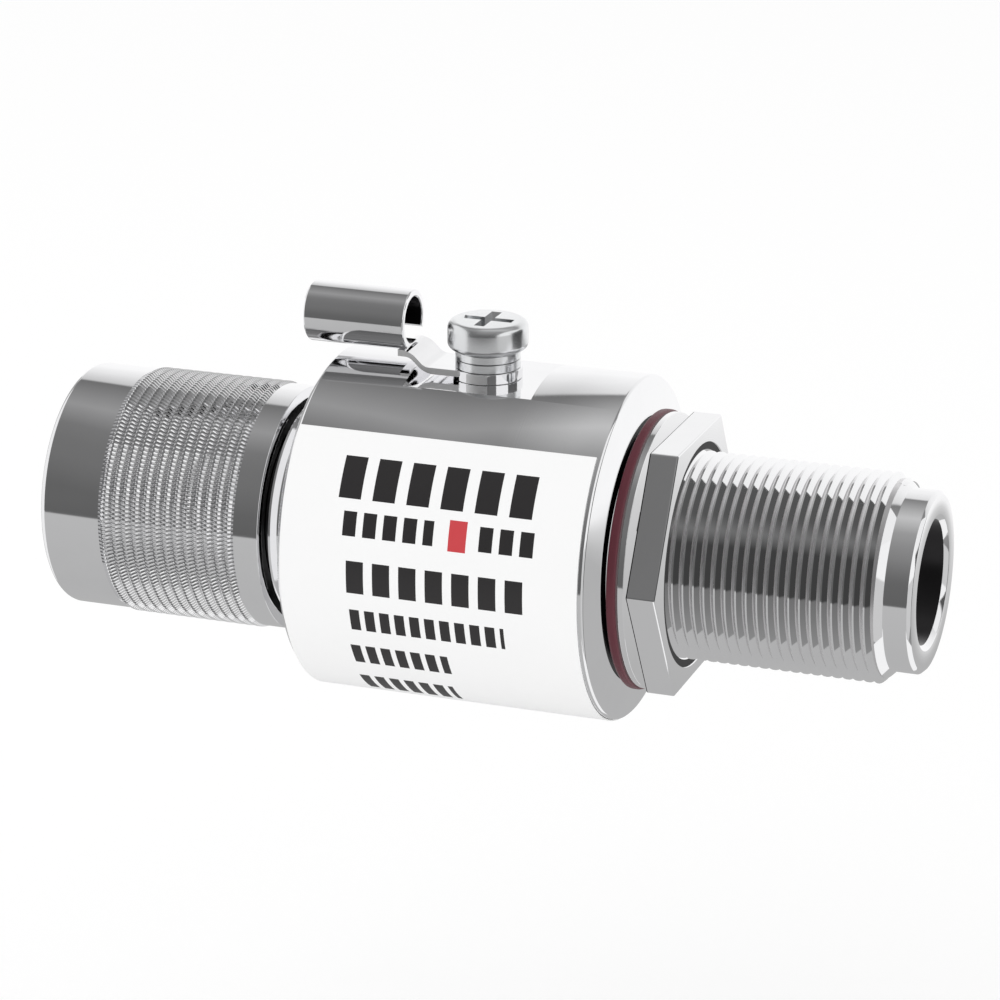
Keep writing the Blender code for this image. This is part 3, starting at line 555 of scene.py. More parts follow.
label_print = make_label_print()
turning_marks = make_turning_marks()
handling = make_handling()
bright_nickel = metal("bright_nickel", (0.93, 0.93, 0.94), (0.90, 0.90, 0.91), 0.03, 0.07)
cap_nickel = metal("cap_nickel", (0.93, 0.93, 0.94), (0.90, 0.90, 0.91), 0.03, 0.08,
                   turn=(0, 0, math.pi / 2), centre=tuple(SCREW_AXIS))
# painted shade: darker copies of the bright nickel for the knurl's flanks, lighter on those facing +X
# and deep on those facing -X
knurl_painted_half_shade = metal("knurl_painted_half_shade", (0.80, 0.80, 0.81), (0.74, 0.74, 0.75), 0.05, 0.12)
knurl_painted_deep_shade = metal("knurl_painted_deep_shade", (0.38, 0.38, 0.39), (0.32, 0.32, 0.33), 0.08, 0.16)
# a darker, rougher copy of the bright nickel for the barrel thread's core and its flanks facing -X:
# its darker colour is painted shade, its roughness a real finish
painted_shade_thread = metal("painted_shade_thread", (0.84, 0.83, 0.84), (0.78, 0.77, 0.78), 0.34, 0.44)
# painted shade: a dark metal laid where shade falls, in the socket bore and inside the lug's rolled
# barrel
painted_shade_bore = metal("painted_shade_bore", (0.05, 0.048, 0.05), (0.035, 0.033, 0.035), 0.25, 0.4)
# painted shade: a near-black metal laid where shade falls, in the housing's face groove, the coupling
# nut's rear recess and the hexagon nut's rear edge and step
painted_shade_gap = metal("painted_shade_gap", (0.012, 0.011, 0.012), (0.008, 0.008, 0.008), 0.4, 0.5)
zinc_plate = metal("zinc_plate", (0.86, 0.87, 0.88), (0.80, 0.81, 0.82), 0.17, 0.26,
                   turn=(0, math.pi / 2, 0), centre=tuple(SCREW_AXIS))
tin_plate = metal("tin_plate", (0.93, 0.93, 0.94), (0.89, 0.89, 0.90), 0.04, 0.09)
sheared_tin = metal("sheared_tin", (0.95, 0.95, 0.95), (0.92, 0.92, 0.92), 0.5, 0.6)
gold_plate = metal("gold_plate", (0.95, 0.72, 0.32), (0.88, 0.62, 0.26), 0.10, 0.22)
spring_bronze = metal("spring_bronze", (0.72, 0.47, 0.27), (0.60, 0.38, 0.22), 0.22, 0.38)
red_silicone = moulded("red_silicone", (0.135, 0.022, 0.036), (0.105, 0.016, 0.028), 0.42,
                       0.00025, 0.000006)
black_rubber = moulded("black_rubber", (0.018, 0.018, 0.019), (0.03, 0.03, 0.03), 0.55,
                       0.0003, 0.000008)
white_ptfe = moulded("white_ptfe", (0.86, 0.86, 0.84), (0.80, 0.80, 0.78), 0.42,
                     0.0002, 0.000004)
tube_ceramic = moulded("tube_ceramic", (0.86, 0.84, 0.79), (0.80, 0.78, 0.74), 0.30,
                       0.0002, 0.000003)
white_label = moulded("white_label", (0.95, 0.95, 0.95), (0.93, 0.93, 0.93), 0.40,
                      0.0004, 0.000002)
add_label_print(white_label)


# Pieces

def make_housing():
    """The drum with its seat, screw hole and tube well, and the threaded barrel with its pilot."""
    chamber_left = SPIGOT_END + SEAT_GAP
    groove = -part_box("panel_gasket")[0].y - GROOVE_INSET
    passage = -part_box("through_conductor")[0].y + FINE_GAP
    shape = turned([
        (DRUM_LEFT, SPIGOT_BORE, SHARP_EDGE),
        (DRUM_LEFT, DRUM_RADIUS - RIM_CHAMFER, SOFT_EDGE),
        (DRUM_LEFT + RIM_CHAMFER, DRUM_RADIUS, SOFT_EDGE),
        (-FACE_DISH - FACE_EDGE, DRUM_RADIUS, SHARP_EDGE),
        (-FACE_DISH, DRUM_RADIUS - FACE_EDGE, SHARP_EDGE),
        (0, groove + FACE_LAND, SHARP_EDGE),
        (0, groove, 0),
        (-GROOVE_DEPTH, groove, 0),
        (-GROOVE_DEPTH, groove - GROOVE_WIDTH, 0),
        (0, groove - GROOVE_WIDTH, 0),
        (0, passage, 0),
        (-WEB, passage, 0),
        (-WEB, CHAMBER_RADIUS, 0),
        (chamber_left, CHAMBER_RADIUS, 0),
        (chamber_left, SPIGOT_BORE, 0),
    ], DRUM_SIDES)
    for face in shape.faces:
        middle = face.calc_center_median()
        reach = math.hypot(middle.y, middle.z)
        sunk = middle.x > -GROOVE_DEPTH * 1.1 and groove - GROOVE_WIDTH * 1.1 < reach < groove * 1.001
        # The groove's floor and walls get painted shade.
        face.material_index = int(sunk and middle.x < -MERGE)
    drum = new_piece("housing_drum", shape, [bright_nickel, painted_shade_gap], "root",
                     ["housing"])
    seat = block((SCREW_X - SEAT_HALF_WIDTH, -DRUM_RADIUS, SEAT_HEIGHT),
                 (SCREW_X + SEAT_HALF_WIDTH, DRUM_RADIUS, DRUM_RADIUS * 1.1))
    hole = turned([(screw_low.z - SEAT_GAP, 0, 0),
                   (screw_low.z - SEAT_GAP, SHANK_RADIUS + THREAD_GAP, 0),
                   (DRUM_RADIUS, SHANK_RADIUS + THREAD_GAP, 0), (DRUM_RADIUS, 0, 0)],
                  WIRE_SIDES, (0, 0, 1), SCREW_AXIS, closed=False)
    seal_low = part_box("cap_seal")[0]
    tube_low, tube_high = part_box("tube_outer_electrode")
    cap_low, cap_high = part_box("tube_cap")
    narrow = (tube_high.x - tube_low.x) / 2 + THREAD_GAP
    wide = (cap_high.x - cap_low.x) / 2 + THREAD_GAP
    ledge = seal_low.y - FINE_GAP
    well = turned([(0, 0, 0), (0, narrow, 0), (ledge, narrow, 0), (ledge, wide, 0),
                   (DRUM_RADIUS * 1.1, wide, 0), (DRUM_RADIUS * 1.1, 0, 0)],
                  BARREL_SIDES, (0, 1, 0), SCREW_AXIS, closed=False)
    cut(drum, [seat, hole, well])

    cone = BARREL_RADIUS - PILOT_RADIUS
    core = BARREL_RADIUS - PANEL_DEPTH
    mouth = MOUTH_RADIUS - SOCKET_BORE_RADIUS
    shape = turned([
        (0, core, 0),
        (THREAD_END + BARREL_RADIUS - core, core, 0),
        (THREAD_END + cone, PILOT_RADIUS, SHARP_EDGE),
        (BARREL_END - PILOT_CHAMFER, PILOT_RADIUS, SHARP_EDGE),
        (BARREL_END, PILOT_RADIUS - PILOT_CHAMFER, SHARP_EDGE),
        (BARREL_END, MOUTH_RADIUS, SHARP_EDGE),
        (BARREL_END - mouth, SOCKET_BORE_RADIUS, 0),
        (SOCKET_PLANE, SOCKET_BORE_RADIUS, 0),
        (SOCKET_PLANE, LINE_RADIUS, SHARP_EDGE),
        (INSULATOR_STOP, LINE_RADIUS, 0),
        (INSULATOR_STOP, CHAMBER_RADIUS, 0),
        (0, CHAMBER_RADIUS, 0),
    ], BARREL_SIDES)
    # The socket bore gets painted shade, and the core under the thread the darker painted-shade
    # nickel.
    for face in shape.faces:
        middle = face.calc_center_median()
        reach = math.hypot(middle.y, middle.z)
        if SOCKET_PLANE < middle.x < BARREL_END - mouth and reach < MOUTH_RADIUS:
            face.material_index = 1
        elif middle.x < THREAD_END and reach > CHAMBER_RADIUS * 1.1:
            face.material_index = 2
    barrel = new_piece("housing_barrel", shape, [bright_nickel, painted_shade_bore, painted_shade_thread], "root")
    shape = screw_thread(BARREL_RADIUS, PANEL_DEPTH, PANEL_PITCH, 0.0002,
                         THREAD_END + PANEL_DEPTH, PANEL_DEPTH, BARREL_SIDES)
    thread = new_piece("barrel_thread", shape, [bright_nickel, painted_shade_thread], "root")
    # Flanks facing -X get painted shade.
    for face in thread.data.polygons:
        face.material_index = int(face.normal.x < -0.2)
    leave_out_of_gloss(barrel, thread)


def leave_out_of_gloss(*pieces):
    """The bright faces beside these pieces mirror the room and not them."""
    for piece in pieces:
        piece.visible_glossy = False


def knurl_outline(start):
    """Ridges round the nut, as the rows of its square knurl."""
    pitch = KNURL_LENGTH / KNURL_ROWS
    valley = KNURL_CREST - KNURL_DEPTH
    for row in range(KNURL_ROWS):
        left = start + row * pitch
        yield (left, valley, 0)
        yield (left + pitch * (0.5 - KNURL_CREST_HALF), KNURL_CREST, 0)
        yield (left + pitch * (0.5 + KNURL_CREST_HALF), KNURL_CREST, 0)
    yield (start + KNURL_LENGTH, valley, 0)


def notch_knurl(shape, start):
    """Lowers one line of crest points beside each tooth, which cuts the rows into teeth."""
    step = math.tau / NUT_SIDES
    least = KNURL_CREST - KNURL_DEPTH / 2
    for vert in shape.verts:
        radius = math.hypot(vert.co.y, vert.co.z)
        line = round(math.atan2(vert.co.y, vert.co.z) / step)
        if (radius > least and line % KNURL_TOOTH_LINES == 0
                and start < vert.co.x < start + KNURL_LENGTH):
            vert.co.y *= 1 - KNURL_NOTCH / radius
            vert.co.z *= 1 - KNURL_NOTCH / radius


def make_coupling_nut():
    start = NUT_FRONT + KNURL_START
    bore = JOURNAL_RADIUS + FINE_GAP
    outline = [
        (NUT_FRONT, NUT_THREAD_RADIUS + NUT_MOUTH_CHAMFER, SHARP_EDGE),
        (NUT_FRONT, NUT_RADIUS, NUT_FRONT_ROUND),
        (start - FINE_GAP, NUT_RADIUS, 0),
        *knurl_outline(start),
        (start + KNURL_LENGTH + FINE_GAP, NUT_RADIUS, 0),
        (NUT_REAR - NUT_REAR_DISH, NUT_RADIUS, SHARP_EDGE),
        (NUT_REAR, NUT_RADIUS - NUT_REAR_LAND, SHARP_EDGE),
        (NUT_REAR - NUT_REAR_RECESS, NUT_RADIUS - NUT_REAR_LAND, 0),
        (NUT_REAR - NUT_REAR_RECESS, bore, SHARP_EDGE),
        (RING_MIDDLE + RING_GROOVE_HALF, bore, 0),
        (RING_MIDDLE + RING_GROOVE_HALF, RING_GROOVE_RADIUS, 0),
        (RING_MIDDLE - RING_GROOVE_HALF, RING_GROOVE_RADIUS, 0),
        (RING_MIDDLE - RING_GROOVE_HALF, bore, 0),
        (NUT_REAR - NUT_FLANGE_LENGTH, bore, 0),
        (NUT_REAR - NUT_FLANGE_LENGTH, NUT_THREAD_RADIUS, 0),
        (NUT_FRONT + NUT_MOUTH_CHAMFER, NUT_THREAD_RADIUS, 0),
    ]
    shape = turned(outline, NUT_SIDES)
    shape.normal_update()
    # Knurl flanks facing +X get a light painted shade and those facing -X a deep painted shade; the
    # rear recess gets painted shade.
    for face in shape.faces:
        middle = face.calc_center_median()
        reach = math.hypot(middle.y, middle.z)
        beside = start < middle.x < start + KNURL_LENGTH and abs(face.normal.x) > 0.3
        if beside and reach > NUT_RADIUS:
            face.material_index = 1 if face.normal.x > 0 else 2
        elif middle.x > NUT_REAR - NUT_FLANGE_LENGTH and reach < NUT_RADIUS - NUT_REAR_LAND * 0.99:
            face.material_index = 3
    notch_knurl(shape, start)
    new_piece("knurled_nut", shape, [bright_nickel, knurl_painted_half_shade, knurl_painted_deep_shade, painted_shade_gap],
              "coupling_nut",
              ["coupling_nut"])


def make_plug_body():
    groove_floor = ring_groove_floor()
    outline = [
        (SLEEVE_TIP, LINE_RADIUS, SHARP_EDGE),
        (SLEEVE_TIP, SLEEVE_RADIUS, 0.0003),
        (SHOULDER_X, SLEEVE_RADIUS, SOFT_EDGE),
        (SHOULDER_X, JOURNAL_RADIUS, SHARP_EDGE),
        (RING_MIDDLE - RING_GROOVE_HALF, JOURNAL_RADIUS, 0),
        (RING_MIDDLE - RING_GROOVE_HALF, groove_floor, 0),
        (RING_MIDDLE + RING_GROOVE_HALF, groove_floor, 0),
        (RING_MIDDLE + RING_GROOVE_HALF, JOURNAL_RADIUS, 0),
        (DRUM_LEFT - COLLAR_LENGTH, JOURNAL_RADIUS, 0),
        (DRUM_LEFT - COLLAR_LENGTH, COLLAR_RADIUS, SHARP_EDGE),
        (DRUM_LEFT - COLLAR_LENGTH + COLLAR_LAND, COLLAR_RADIUS, 0),
        (DRUM_LEFT - COLLAR_LENGTH + COLLAR_LAND + COLLAR_CHAMFER,
         COLLAR_RADIUS - COLLAR_CHAMFER, 0),
        (DRUM_LEFT - FINE_GAP, COLLAR_RADIUS - COLLAR_CHAMFER, 0),
        (DRUM_LEFT - FINE_GAP, SPIGOT_RADIUS, 0),
        (SPIGOT_END, SPIGOT_RADIUS, 0),
        (SPIGOT_END, CHAMBER_RADIUS, 0),
        (PLUG_INSULATOR_STOP, CHAMBER_RADIUS, 0),
        (PLUG_INSULATOR_STOP, LINE_RADIUS, 0),
    ]
    body = new_piece("plug_shell", turned(outline, BARREL_SIDES), [bright_nickel], "root",
                     ["plug_body"])
    cut(body, radial_saws(SLEEVE_TIP - SEAT_GAP, SLEEVE_TIP + SLOT_LENGTH, SLOT_WIDTH,
                          SLEEVE_RADIUS + SEAT_GAP, 6))


def ring_groove_floor():
    """The floor of the snap ring's groove, just inside the ring's bore."""
    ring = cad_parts["snap_ring"].data
    bore = min(math.hypot(vert.co.y, vert.co.z) for vert in ring.vertices)
    return bore - FINE_GAP


def radial_saws(start, end, width, reach, count, turn=0.5):
    """Blocks across the axis: each saws two opposite slots."""
    for index in range(count // 2):
        saw = block((start, -width / 2, -reach), (end, width / 2, reach))
        bmesh.ops.transform(saw, matrix=Matrix.Rotation(math.tau * (index + turn) / count, 4, 'X'),
                            verts=saw.verts)
        yield saw


def make_nut_fittings():
    """The split snap ring and the soft face gasket inside the coupling nut."""
    ring = new_piece("split_ring",
                     turned([(ring_low.x, ring_groove_floor() + FINE_GAP, SHARP_EDGE),
                             (ring_low.x, -ring_low.y, SHARP_EDGE),
                             (ring_high.x, -ring_low.y, SHARP_EDGE),
                             (ring_high.x, ring_groove_floor() + FINE_GAP, SHARP_EDGE)],
                            SCREW_SIDES),
                     [spring_bronze], "root", ["snap_ring"])
    cut(ring, [block((ring_low.x - SEAT_GAP, -RING_SPLIT / 2, 0),
                     (ring_high.x + SEAT_GAP, RING_SPLIT / 2, KNURL_CREST))])
    bore = SLEEVE_RADIUS + FINE_GAP
    outside = -shoulder_low.y
    new_piece("soft_washer",
              turned([(shoulder_low.x, bore, SOFT_EDGE), (shoulder_low.x, outside, SOFT_EDGE),
                      (shoulder_high.x, outside, SOFT_EDGE), (shoulder_high.x, bore, SOFT_EDGE)],
                     SCREW_SIDES),
              [black_rubber], "root", ["face_gasket"])


def make_centre_line():
    pin_low, pin_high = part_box("pin_contact")
    rod_low, rod_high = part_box("through_conductor")
    socket_low, socket_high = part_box("socket_contact")
    radius = -pin_low.y
    step = pin_low.x + PIN_TIP_LENGTH
    new_piece("centre_pin",
              turned([(pin_low.x, 0, 0), (pin_low.x, PIN_TIP_RADIUS, PIN_NOSE),
                      (step, PIN_TIP_RADIUS, SHARP_EDGE), (step + PIN_TAPER, radius, SOFT_EDGE),
                      (pin_high.x, radius, SHARP_EDGE), (pin_high.x, 0, 0)],
                     SCREW_SIDES, closed=False),
              [gold_plate], "root", ["pin_contact"])
    rod = new_piece("centre_rod",
              turned([(rod_low.x, 0, 0), (rod_low.x, radius, SOFT_EDGE),
                      (rod_high.x, radius, SOFT_EDGE), (rod_high.x, 0, 0)],
                     SCREW_SIDES, closed=False),
              [gold_plate], "root", ["through_conductor"])
    bore_end = socket_high.x - CONTACT_BORE_DEPTH
    contact = new_piece("centre_socket",
                        turned([(socket_low.x, 0, 0), (socket_low.x, radius, SHARP_EDGE),
                                (socket_high.x, radius, 0.00025),
                                (socket_high.x, CONTACT_BORE_RADIUS, SOFT_EDGE),
                                (bore_end, CONTACT_BORE_RADIUS, 0), (bore_end, 0, 0)],
                               SCREW_SIDES, closed=False),
                        [gold_plate], "root", ["socket_contact"])
    cut(contact, radial_saws(socket_high.x - CONTACT_SLOT_LENGTH, socket_high.x + SEAT_GAP,
                             CONTACT_SLOT_WIDTH, radius + SEAT_GAP, 4))
    leave_out_of_gloss(rod, contact)
    for name, node in (("plug_bead", "plug_insulator"), ("socket_bead", "socket_insulator")):
        low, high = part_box(node)
        bore = radius + FINE_GAP
        bead = new_piece(name,
                         turned([(low.x, bore, SHARP_EDGE), (low.x, -low.y, SOFT_EDGE),
                                 (high.x, -low.y, SOFT_EDGE), (high.x, bore, SHARP_EDGE)],
                                SCREW_SIDES),
                         [white_ptfe], "root", [node])
        leave_out_of_gloss(bead)


def make_tube_cap():
    low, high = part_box("tube_cap")
    radius = (high.x - low.x) / 2
    core = radius - SCREW_DEPTH
    cap = new_piece("slotted_cap",
                    turned([(low.y, 0, 0), (low.y, core, SHARP_EDGE), (high.y, core, 0),
                            (high.y, 0, 0)], BARREL_SIDES, (0, 1, 0), SCREW_AXIS, closed=False),
                    [cap_nickel], "cap", ["tube_cap"])
    thread = screw_thread(radius, SCREW_DEPTH, SCREW_PITCH, low.y, high.y, SCREW_DEPTH,
                          BARREL_SIDES, (0, 1, 0), SCREW_AXIS)
    slot = block((low.x - SEAT_GAP, high.y - CAP_SLOT_DEPTH, -CAP_SLOT_WIDTH / 2),
                 (high.x + SEAT_GAP, high.y + SEAT_GAP, CAP_SLOT_WIDTH / 2))
    cut(cap, [slot])
    new_piece("cap_thread", thread, [cap_nickel], "cap")
    seal_low, seal_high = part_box("cap_seal")
    wire = (seal_high.y - seal_low.y) / 2
    reach = (seal_high.x - seal_low.x) / 2
    new_piece("seal_ring",
              turned([(seal_low.y, reach - 2 * wire, wire * 0.99), (seal_low.y, reach, wire * 0.99),
                      (seal_high.y, reach, wire * 0.99),
                      (seal_high.y, reach - 2 * wire, wire * 0.99)],
                     SCREW_SIDES, (0, 1, 0), SCREW_AXIS),
              [black_rubber], "seal", ["cap_seal"])


def make_panel_hardware():
    """Gasket, toothed lock washer and hexagon nut on the barrel."""
    bore = BARREL_RADIUS + FINE_GAP
    low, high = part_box("panel_gasket")
    left = low.x + GASKET_INSET
    outside = -low.y
    gasket = new_piece("red_gasket",
              turned([(left, bore, SHARP_EDGE), (left, outside, GASKET_ROUND),
                      (high.x, outside, GASKET_ROUND), (high.x, bore, SHARP_EDGE)], BARREL_SIDES),
              [red_silicone], "root", ["panel_gasket"])

    low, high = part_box("lock_washer")
    outside = -low.y
    washer = new_piece("toothed_washer",
                       turned([(low.x, bore, 0), (low.x, outside, SHARP_EDGE),
                               (high.x, outside, SHARP_EDGE), (high.x, bore, 0)], BARREL_SIDES),
                       [bright_nickel], "panel_washer", ["lock_washer"])
    gap = math.tau * bore / WASHER_TEETH / 2
    cut(washer, radial_saws(low.x - SEAT_GAP, high.x + SEAT_GAP, gap, bore + WASHER_TOOTH_LENGTH,
                            WASHER_TEETH))

    low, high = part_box("hex_nut")
    corner = -low.y
    shape = turned([(low.x, 0, 0), (low.x, corner, 0), (high.x, corner, 0), (high.x, 0, 0)], 6,
                   closed=False)
    bmesh.ops.rotate(shape, cent=(0, 0, 0), matrix=Matrix.Rotation(math.pi / 6, 3, 'X'),
                     verts=shape.verts)
    outer = [edge for edge in shape.edges
             if all(math.hypot(vert.co.y, vert.co.z) > bore for vert in edge.verts)]
    bmesh.ops.bevel(shape, geom=outer, offset=HEX_EDGE, offset_type='OFFSET', affect='EDGES',
                    segments=2, profile=0.5, material=-1)
    nut = new_piece("hexagon_nut", shape, [bright_nickel], "panel_nut",
                    ["hex_nut"])
    wide = bore + HEX_COUNTERSINK + SEAT_GAP
    hole = turned([(low.x - SEAT_GAP, 0, 0), (low.x - SEAT_GAP, wide, 0),
                   (low.x + HEX_COUNTERSINK, bore, 0), (high.x - HEX_SHADE_DEPTH, bore, 0),
                   (high.x - HEX_SHADE_DEPTH, wide - SEAT_GAP, 0),
                   (high.x + SEAT_GAP, wide - SEAT_GAP, 0), (high.x + SEAT_GAP, 0, 0)],
                  BARREL_SIDES, closed=False)
    cut(nut, [hole])
    nut.data.materials.append(painted_shade_gap)
    # The rear edge's bevel, a line against the washer, and the recess step get painted shade.
    for face in nut.data.polygons:
        reach = math.hypot(face.center.y, face.center.z)
        painted_shade_seam = reach > corner * 0.85 and face.center.x < low.x + HEX_EDGE
        step = reach < wide and abs(face.center.x - high.x + HEX_SHADE_DEPTH) < MERGE
        face.material_index = int(painted_shade_seam or step)
    leave_out_of_gloss(gasket, washer, nut)


def cross_recess_arm(top, turn):
    """One tapered arm pair of the cross recess, cut down from the head's top."""
    shape = block((-RECESS_LENGTH / 2, -RECESS_WIDTH / 2, top - RECESS_DEPTH),
                  (RECESS_LENGTH / 2, RECESS_WIDTH / 2, top + SEAT_GAP))
    floor = [vert for vert in shape.verts if vert.co.z < top - RECESS_DEPTH / 2]
    bmesh.ops.scale(shape, vec=(RECESS_TAPER, 1, 1), verts=floor)
    placed = Matrix.Translation(SCREW_AXIS) @ Matrix.Rotation(turn, 4, 'Z')
    bmesh.ops.transform(shape, matrix=placed, verts=shape.verts)
    return shape


def make_ground_screw():
    up = (0, 0, 1)
    flat_low, flat_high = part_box("flat_washer")
    spring_low, spring_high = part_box("spring_washer")
    under = spring_high.z + SKIN_GAP
    core = SHANK_RADIUS - SCREW_DEPTH
    thread_top = flat_low.z - FINE_GAP
    screw = new_piece("screw",
                      turned([(screw_low.z, 0, 0), (screw_low.z, core, SHARP_EDGE),
                              (thread_top, core, 0), (thread_top, SHANK_RADIUS, SHARP_EDGE),
                              (under, SHANK_RADIUS, 0), (under, HEAD_RADIUS, HEAD_UNDER_ROUND),
                              (screw_high.z, HEAD_RADIUS, HEAD_TOP_ROUND),
                              (screw_high.z, 0, 0)], SCREW_SIDES, up, SCREW_AXIS, closed=False),
                      [zinc_plate], "screw", ["ground_screw"])
    cut(screw, [cross_recess_arm(screw_high.z, turn) for turn in (0, math.pi / 2)])
    thread = screw_thread(SHANK_RADIUS, SCREW_DEPTH, SCREW_PITCH, screw_low.z, thread_top,
                          SCREW_DEPTH, SCREW_SIDES, up, SCREW_AXIS)
    new_piece("screw_thread", thread, [zinc_plate], "screw")

    bore = SHANK_RADIUS + FINE_GAP
    outside = (flat_high.x - flat_low.x) / 2
    bottom = SEAT_HEIGHT + REST_GAP + SHEET + REST_GAP
    new_piece("plain_washer",
              turned([(bottom, bore, SHARP_EDGE), (bottom, outside, SHARP_EDGE),
                      (flat_high.z, outside, SHARP_EDGE), (flat_high.z, bore, SHARP_EDGE)],
                     SCREW_SIDES, up, SCREW_AXIS),
              [zinc_plate], "screw_washers", ["flat_washer"])
    spring = new_piece("split_washer",
                       turned([(spring_low.z, bore, SHARP_EDGE),
                               (spring_low.z, outside, SHARP_EDGE),
                               (spring_high.z, outside, SHARP_EDGE),
                               (spring_high.z, bore, SHARP_EDGE)], SCREW_SIDES, up, SCREW_AXIS),
                       [zinc_plate], "screw_washers", ["spring_washer"])
    thickness = spring_high.z - spring_low.z
    saw = block((-WASHER_SPLIT / 2, 0, -thickness), (WASHER_SPLIT / 2, outside * 1.1, thickness))
    middle = Vector((0, 0, (spring_low.z + spring_high.z) / 2))
    placed = Matrix.Translation(SCREW_AXIS + middle) @ Matrix.Rotation(WASHER_SLANT, 4, 'Y')
    bmesh.ops.transform(saw, matrix=placed, verts=saw.verts)
    cut(spring, [saw])


def pushed_outline(points, depth, eases=None):
    """A flat outline, its corners eased, filled and pushed along the depth vector."""
    shape = bmesh.new()
    corners = [shape.verts.new(point) for point in points]
    for pair in zip(corners, corners[1:] + corners[:1]):
        shape.edges.new(pair)
    for corner, ease in zip(corners, eases or [0] * len(points)):
        if ease:
            steps = ROUND_STEPS if ease > LEAST_ROUND else EASE_STEPS
            bmesh.ops.bevel(shape, geom=[corner], offset=ease, offset_type='OFFSET',
                            affect='VERTICES', segments=steps, profile=0.5, material=-1)
    bmesh.ops.contextual_create(shape, geom=shape.edges)
    pushed = bmesh.ops.extrude_face_region(shape, geom=shape.faces[:], use_keep_orig=True)
    moved = [item for item in pushed["geom"] if isinstance(item, bmesh.types.BMVert)]
    bmesh.ops.translate(shape, vec=depth, verts=moved)
    return shape


def make_ground_lug():
    """Ring, stepped neck and crimp barrel, joined as one bent and rolled sheet."""
    low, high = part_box("ground_lug")
    bottom = SEAT_HEIGHT + REST_GAP
    top = bottom + SHEET
    roll_centre = high.z - CRIMP_RADIUS
    shelf = roll_centre - CRIMP_RADIUS
    barrel_right = SCREW_X - CRIMP_START
    step_left = SCREW_X - LUG_STEP_START
    step_right = step_left + LUG_STEP_LENGTH
    neck_left = barrel_right - LUG_LAP
    outer_bend = LUG_BEND + LUG_NECK_HEIGHT * 0.6
    side = [(SCREW_X, top - LUG_NECK_HEIGHT, 0), (step_right, top - LUG_NECK_HEIGHT, outer_bend),
            (step_left, shelf, LUG_BEND), (neck_left, shelf, 0),
            (neck_left, shelf + LUG_NECK_HEIGHT, 0),
            (step_left, shelf + LUG_NECK_HEIGHT, outer_bend), (step_right, top, LUG_BEND),
            (SCREW_X, top, 0)]
    half = LUG_NECK_HALF_WIDTH
    lug = new_piece("bent_lug",
                    pushed_outline([(x, -half, z) for x, z, _ in side], (0, 2 * half, 0),
                                   [ease for _, _, ease in side]),
                    [tin_plate], "lug", ["ground_lug"])
    up = (0, 0, 1)
    ring_radius = high.x - SCREW_X
    ring = turned([(bottom, 0, 0), (bottom, ring_radius, SHARP_EDGE),
                   (top, ring_radius, SHARP_EDGE), (top, 0, 0)], BARREL_SIDES, up, SCREW_AXIS,
                  closed=False)
    start = CRIMP_OPEN_FROM - math.pi / 2
    end = CRIMP_OPEN_TO - math.pi / 2 - math.tau
    outward = Vector((0, math.cos(start), math.sin(start)))
    left_end = Vector((barrel_right - CRIMP_LENGTH, 0, roll_centre))
    length = Vector((CRIMP_LENGTH, 0, 0))
    shape = bmesh.new()
    corners = [shape.verts.new(left_end + outward * reach + length * along)
               for along, reach in ((0, CRIMP_RADIUS - CRIMP_SHEET), (1, CRIMP_RADIUS - CRIMP_SHEET),
                                    (1, CRIMP_RADIUS), (0, CRIMP_RADIUS))]
    for pair in zip(corners, corners[1:] + corners[:1]):
        shape.edges.new(pair)
    for corner in corners:
        bmesh.ops.bevel(shape, geom=[corner], offset=SHEET_EDGE, offset_type='OFFSET',
                        affect='VERTICES', segments=EASE_STEPS, profile=0.5, material=-1)
    sides = len(shape.verts)
    bmesh.ops.spin(shape, geom=shape.verts[:] + shape.edges[:], cent=(0, 0, roll_centre),
                   axis=(1, 0, 0), angle=end - start, steps=CRIMP_STEPS)
    bmesh.ops.holes_fill(shape, edges=[edge for edge in shape.edges if edge.is_boundary],
                         sides=sides)
    cut(lug, [ring, shape], operation='UNION')
    eye = turned([(bottom - SEAT_GAP, 0, 0), (bottom - SEAT_GAP, SHANK_RADIUS + THREAD_GAP, 0),
                  (top + SEAT_GAP, SHANK_RADIUS + THREAD_GAP, 0), (top + SEAT_GAP, 0, 0)],
                 SCREW_SIDES, up, SCREW_AXIS, closed=False)
    cut(lug, [eye])
    finish_sheet(lug, roll_centre, barrel_right)


def finish_sheet(lug, roll_centre, barrel_right):
    """The rolled sheet has painted shade inside, and the neck's sheared sides are dull."""
    lug.data.materials.append(painted_shade_bore)
    lug.data.materials.append(sheared_tin)
    for face in lug.data.polygons:
        reach = math.hypot(face.center.y, face.center.z - roll_centre)
        if reach < CRIMP_RADIUS - CRIMP_SHEET * 0.9 and abs(face.normal.x) < 0.5:
            face.material_index = 1
        elif abs(face.normal.y) > 0.95 and face.center.x > barrel_right - LUG_LAP:
            face.material_index = 2


def make_label():
    """A thin wrap round the housing, from near the top down past the bottom at the back."""
    low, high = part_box("label")
    outside = -low.y
    inside = outside - LABEL_THICKNESS
    shape = bmesh.new()
    corners = [shape.verts.new((x, 0, radius))
               for x, radius in ((low.x, inside), (high.x, inside), (high.x, outside),
                                 (low.x, outside))]
    edges = [shape.edges.new(pair) for pair in zip(corners, corners[1:] + corners[:1])]
    bmesh.ops.rotate(shape, cent=(0, 0, 0), matrix=Matrix.Rotation(LABEL_FROM, 3, 'X'),
                     verts=shape.verts)
    bmesh.ops.spin(shape, geom=corners + edges, cent=(0, 0, 0), axis=(1, 0, 0),
                   angle=LABEL_TO - LABEL_FROM, steps=LABEL_STEPS)
    bmesh.ops.holes_fill(shape, edges=[edge for edge in shape.edges if edge.is_boundary],
                         sides=4)
    new_piece("wrap_label", shape, [white_label], "root", ["label"])


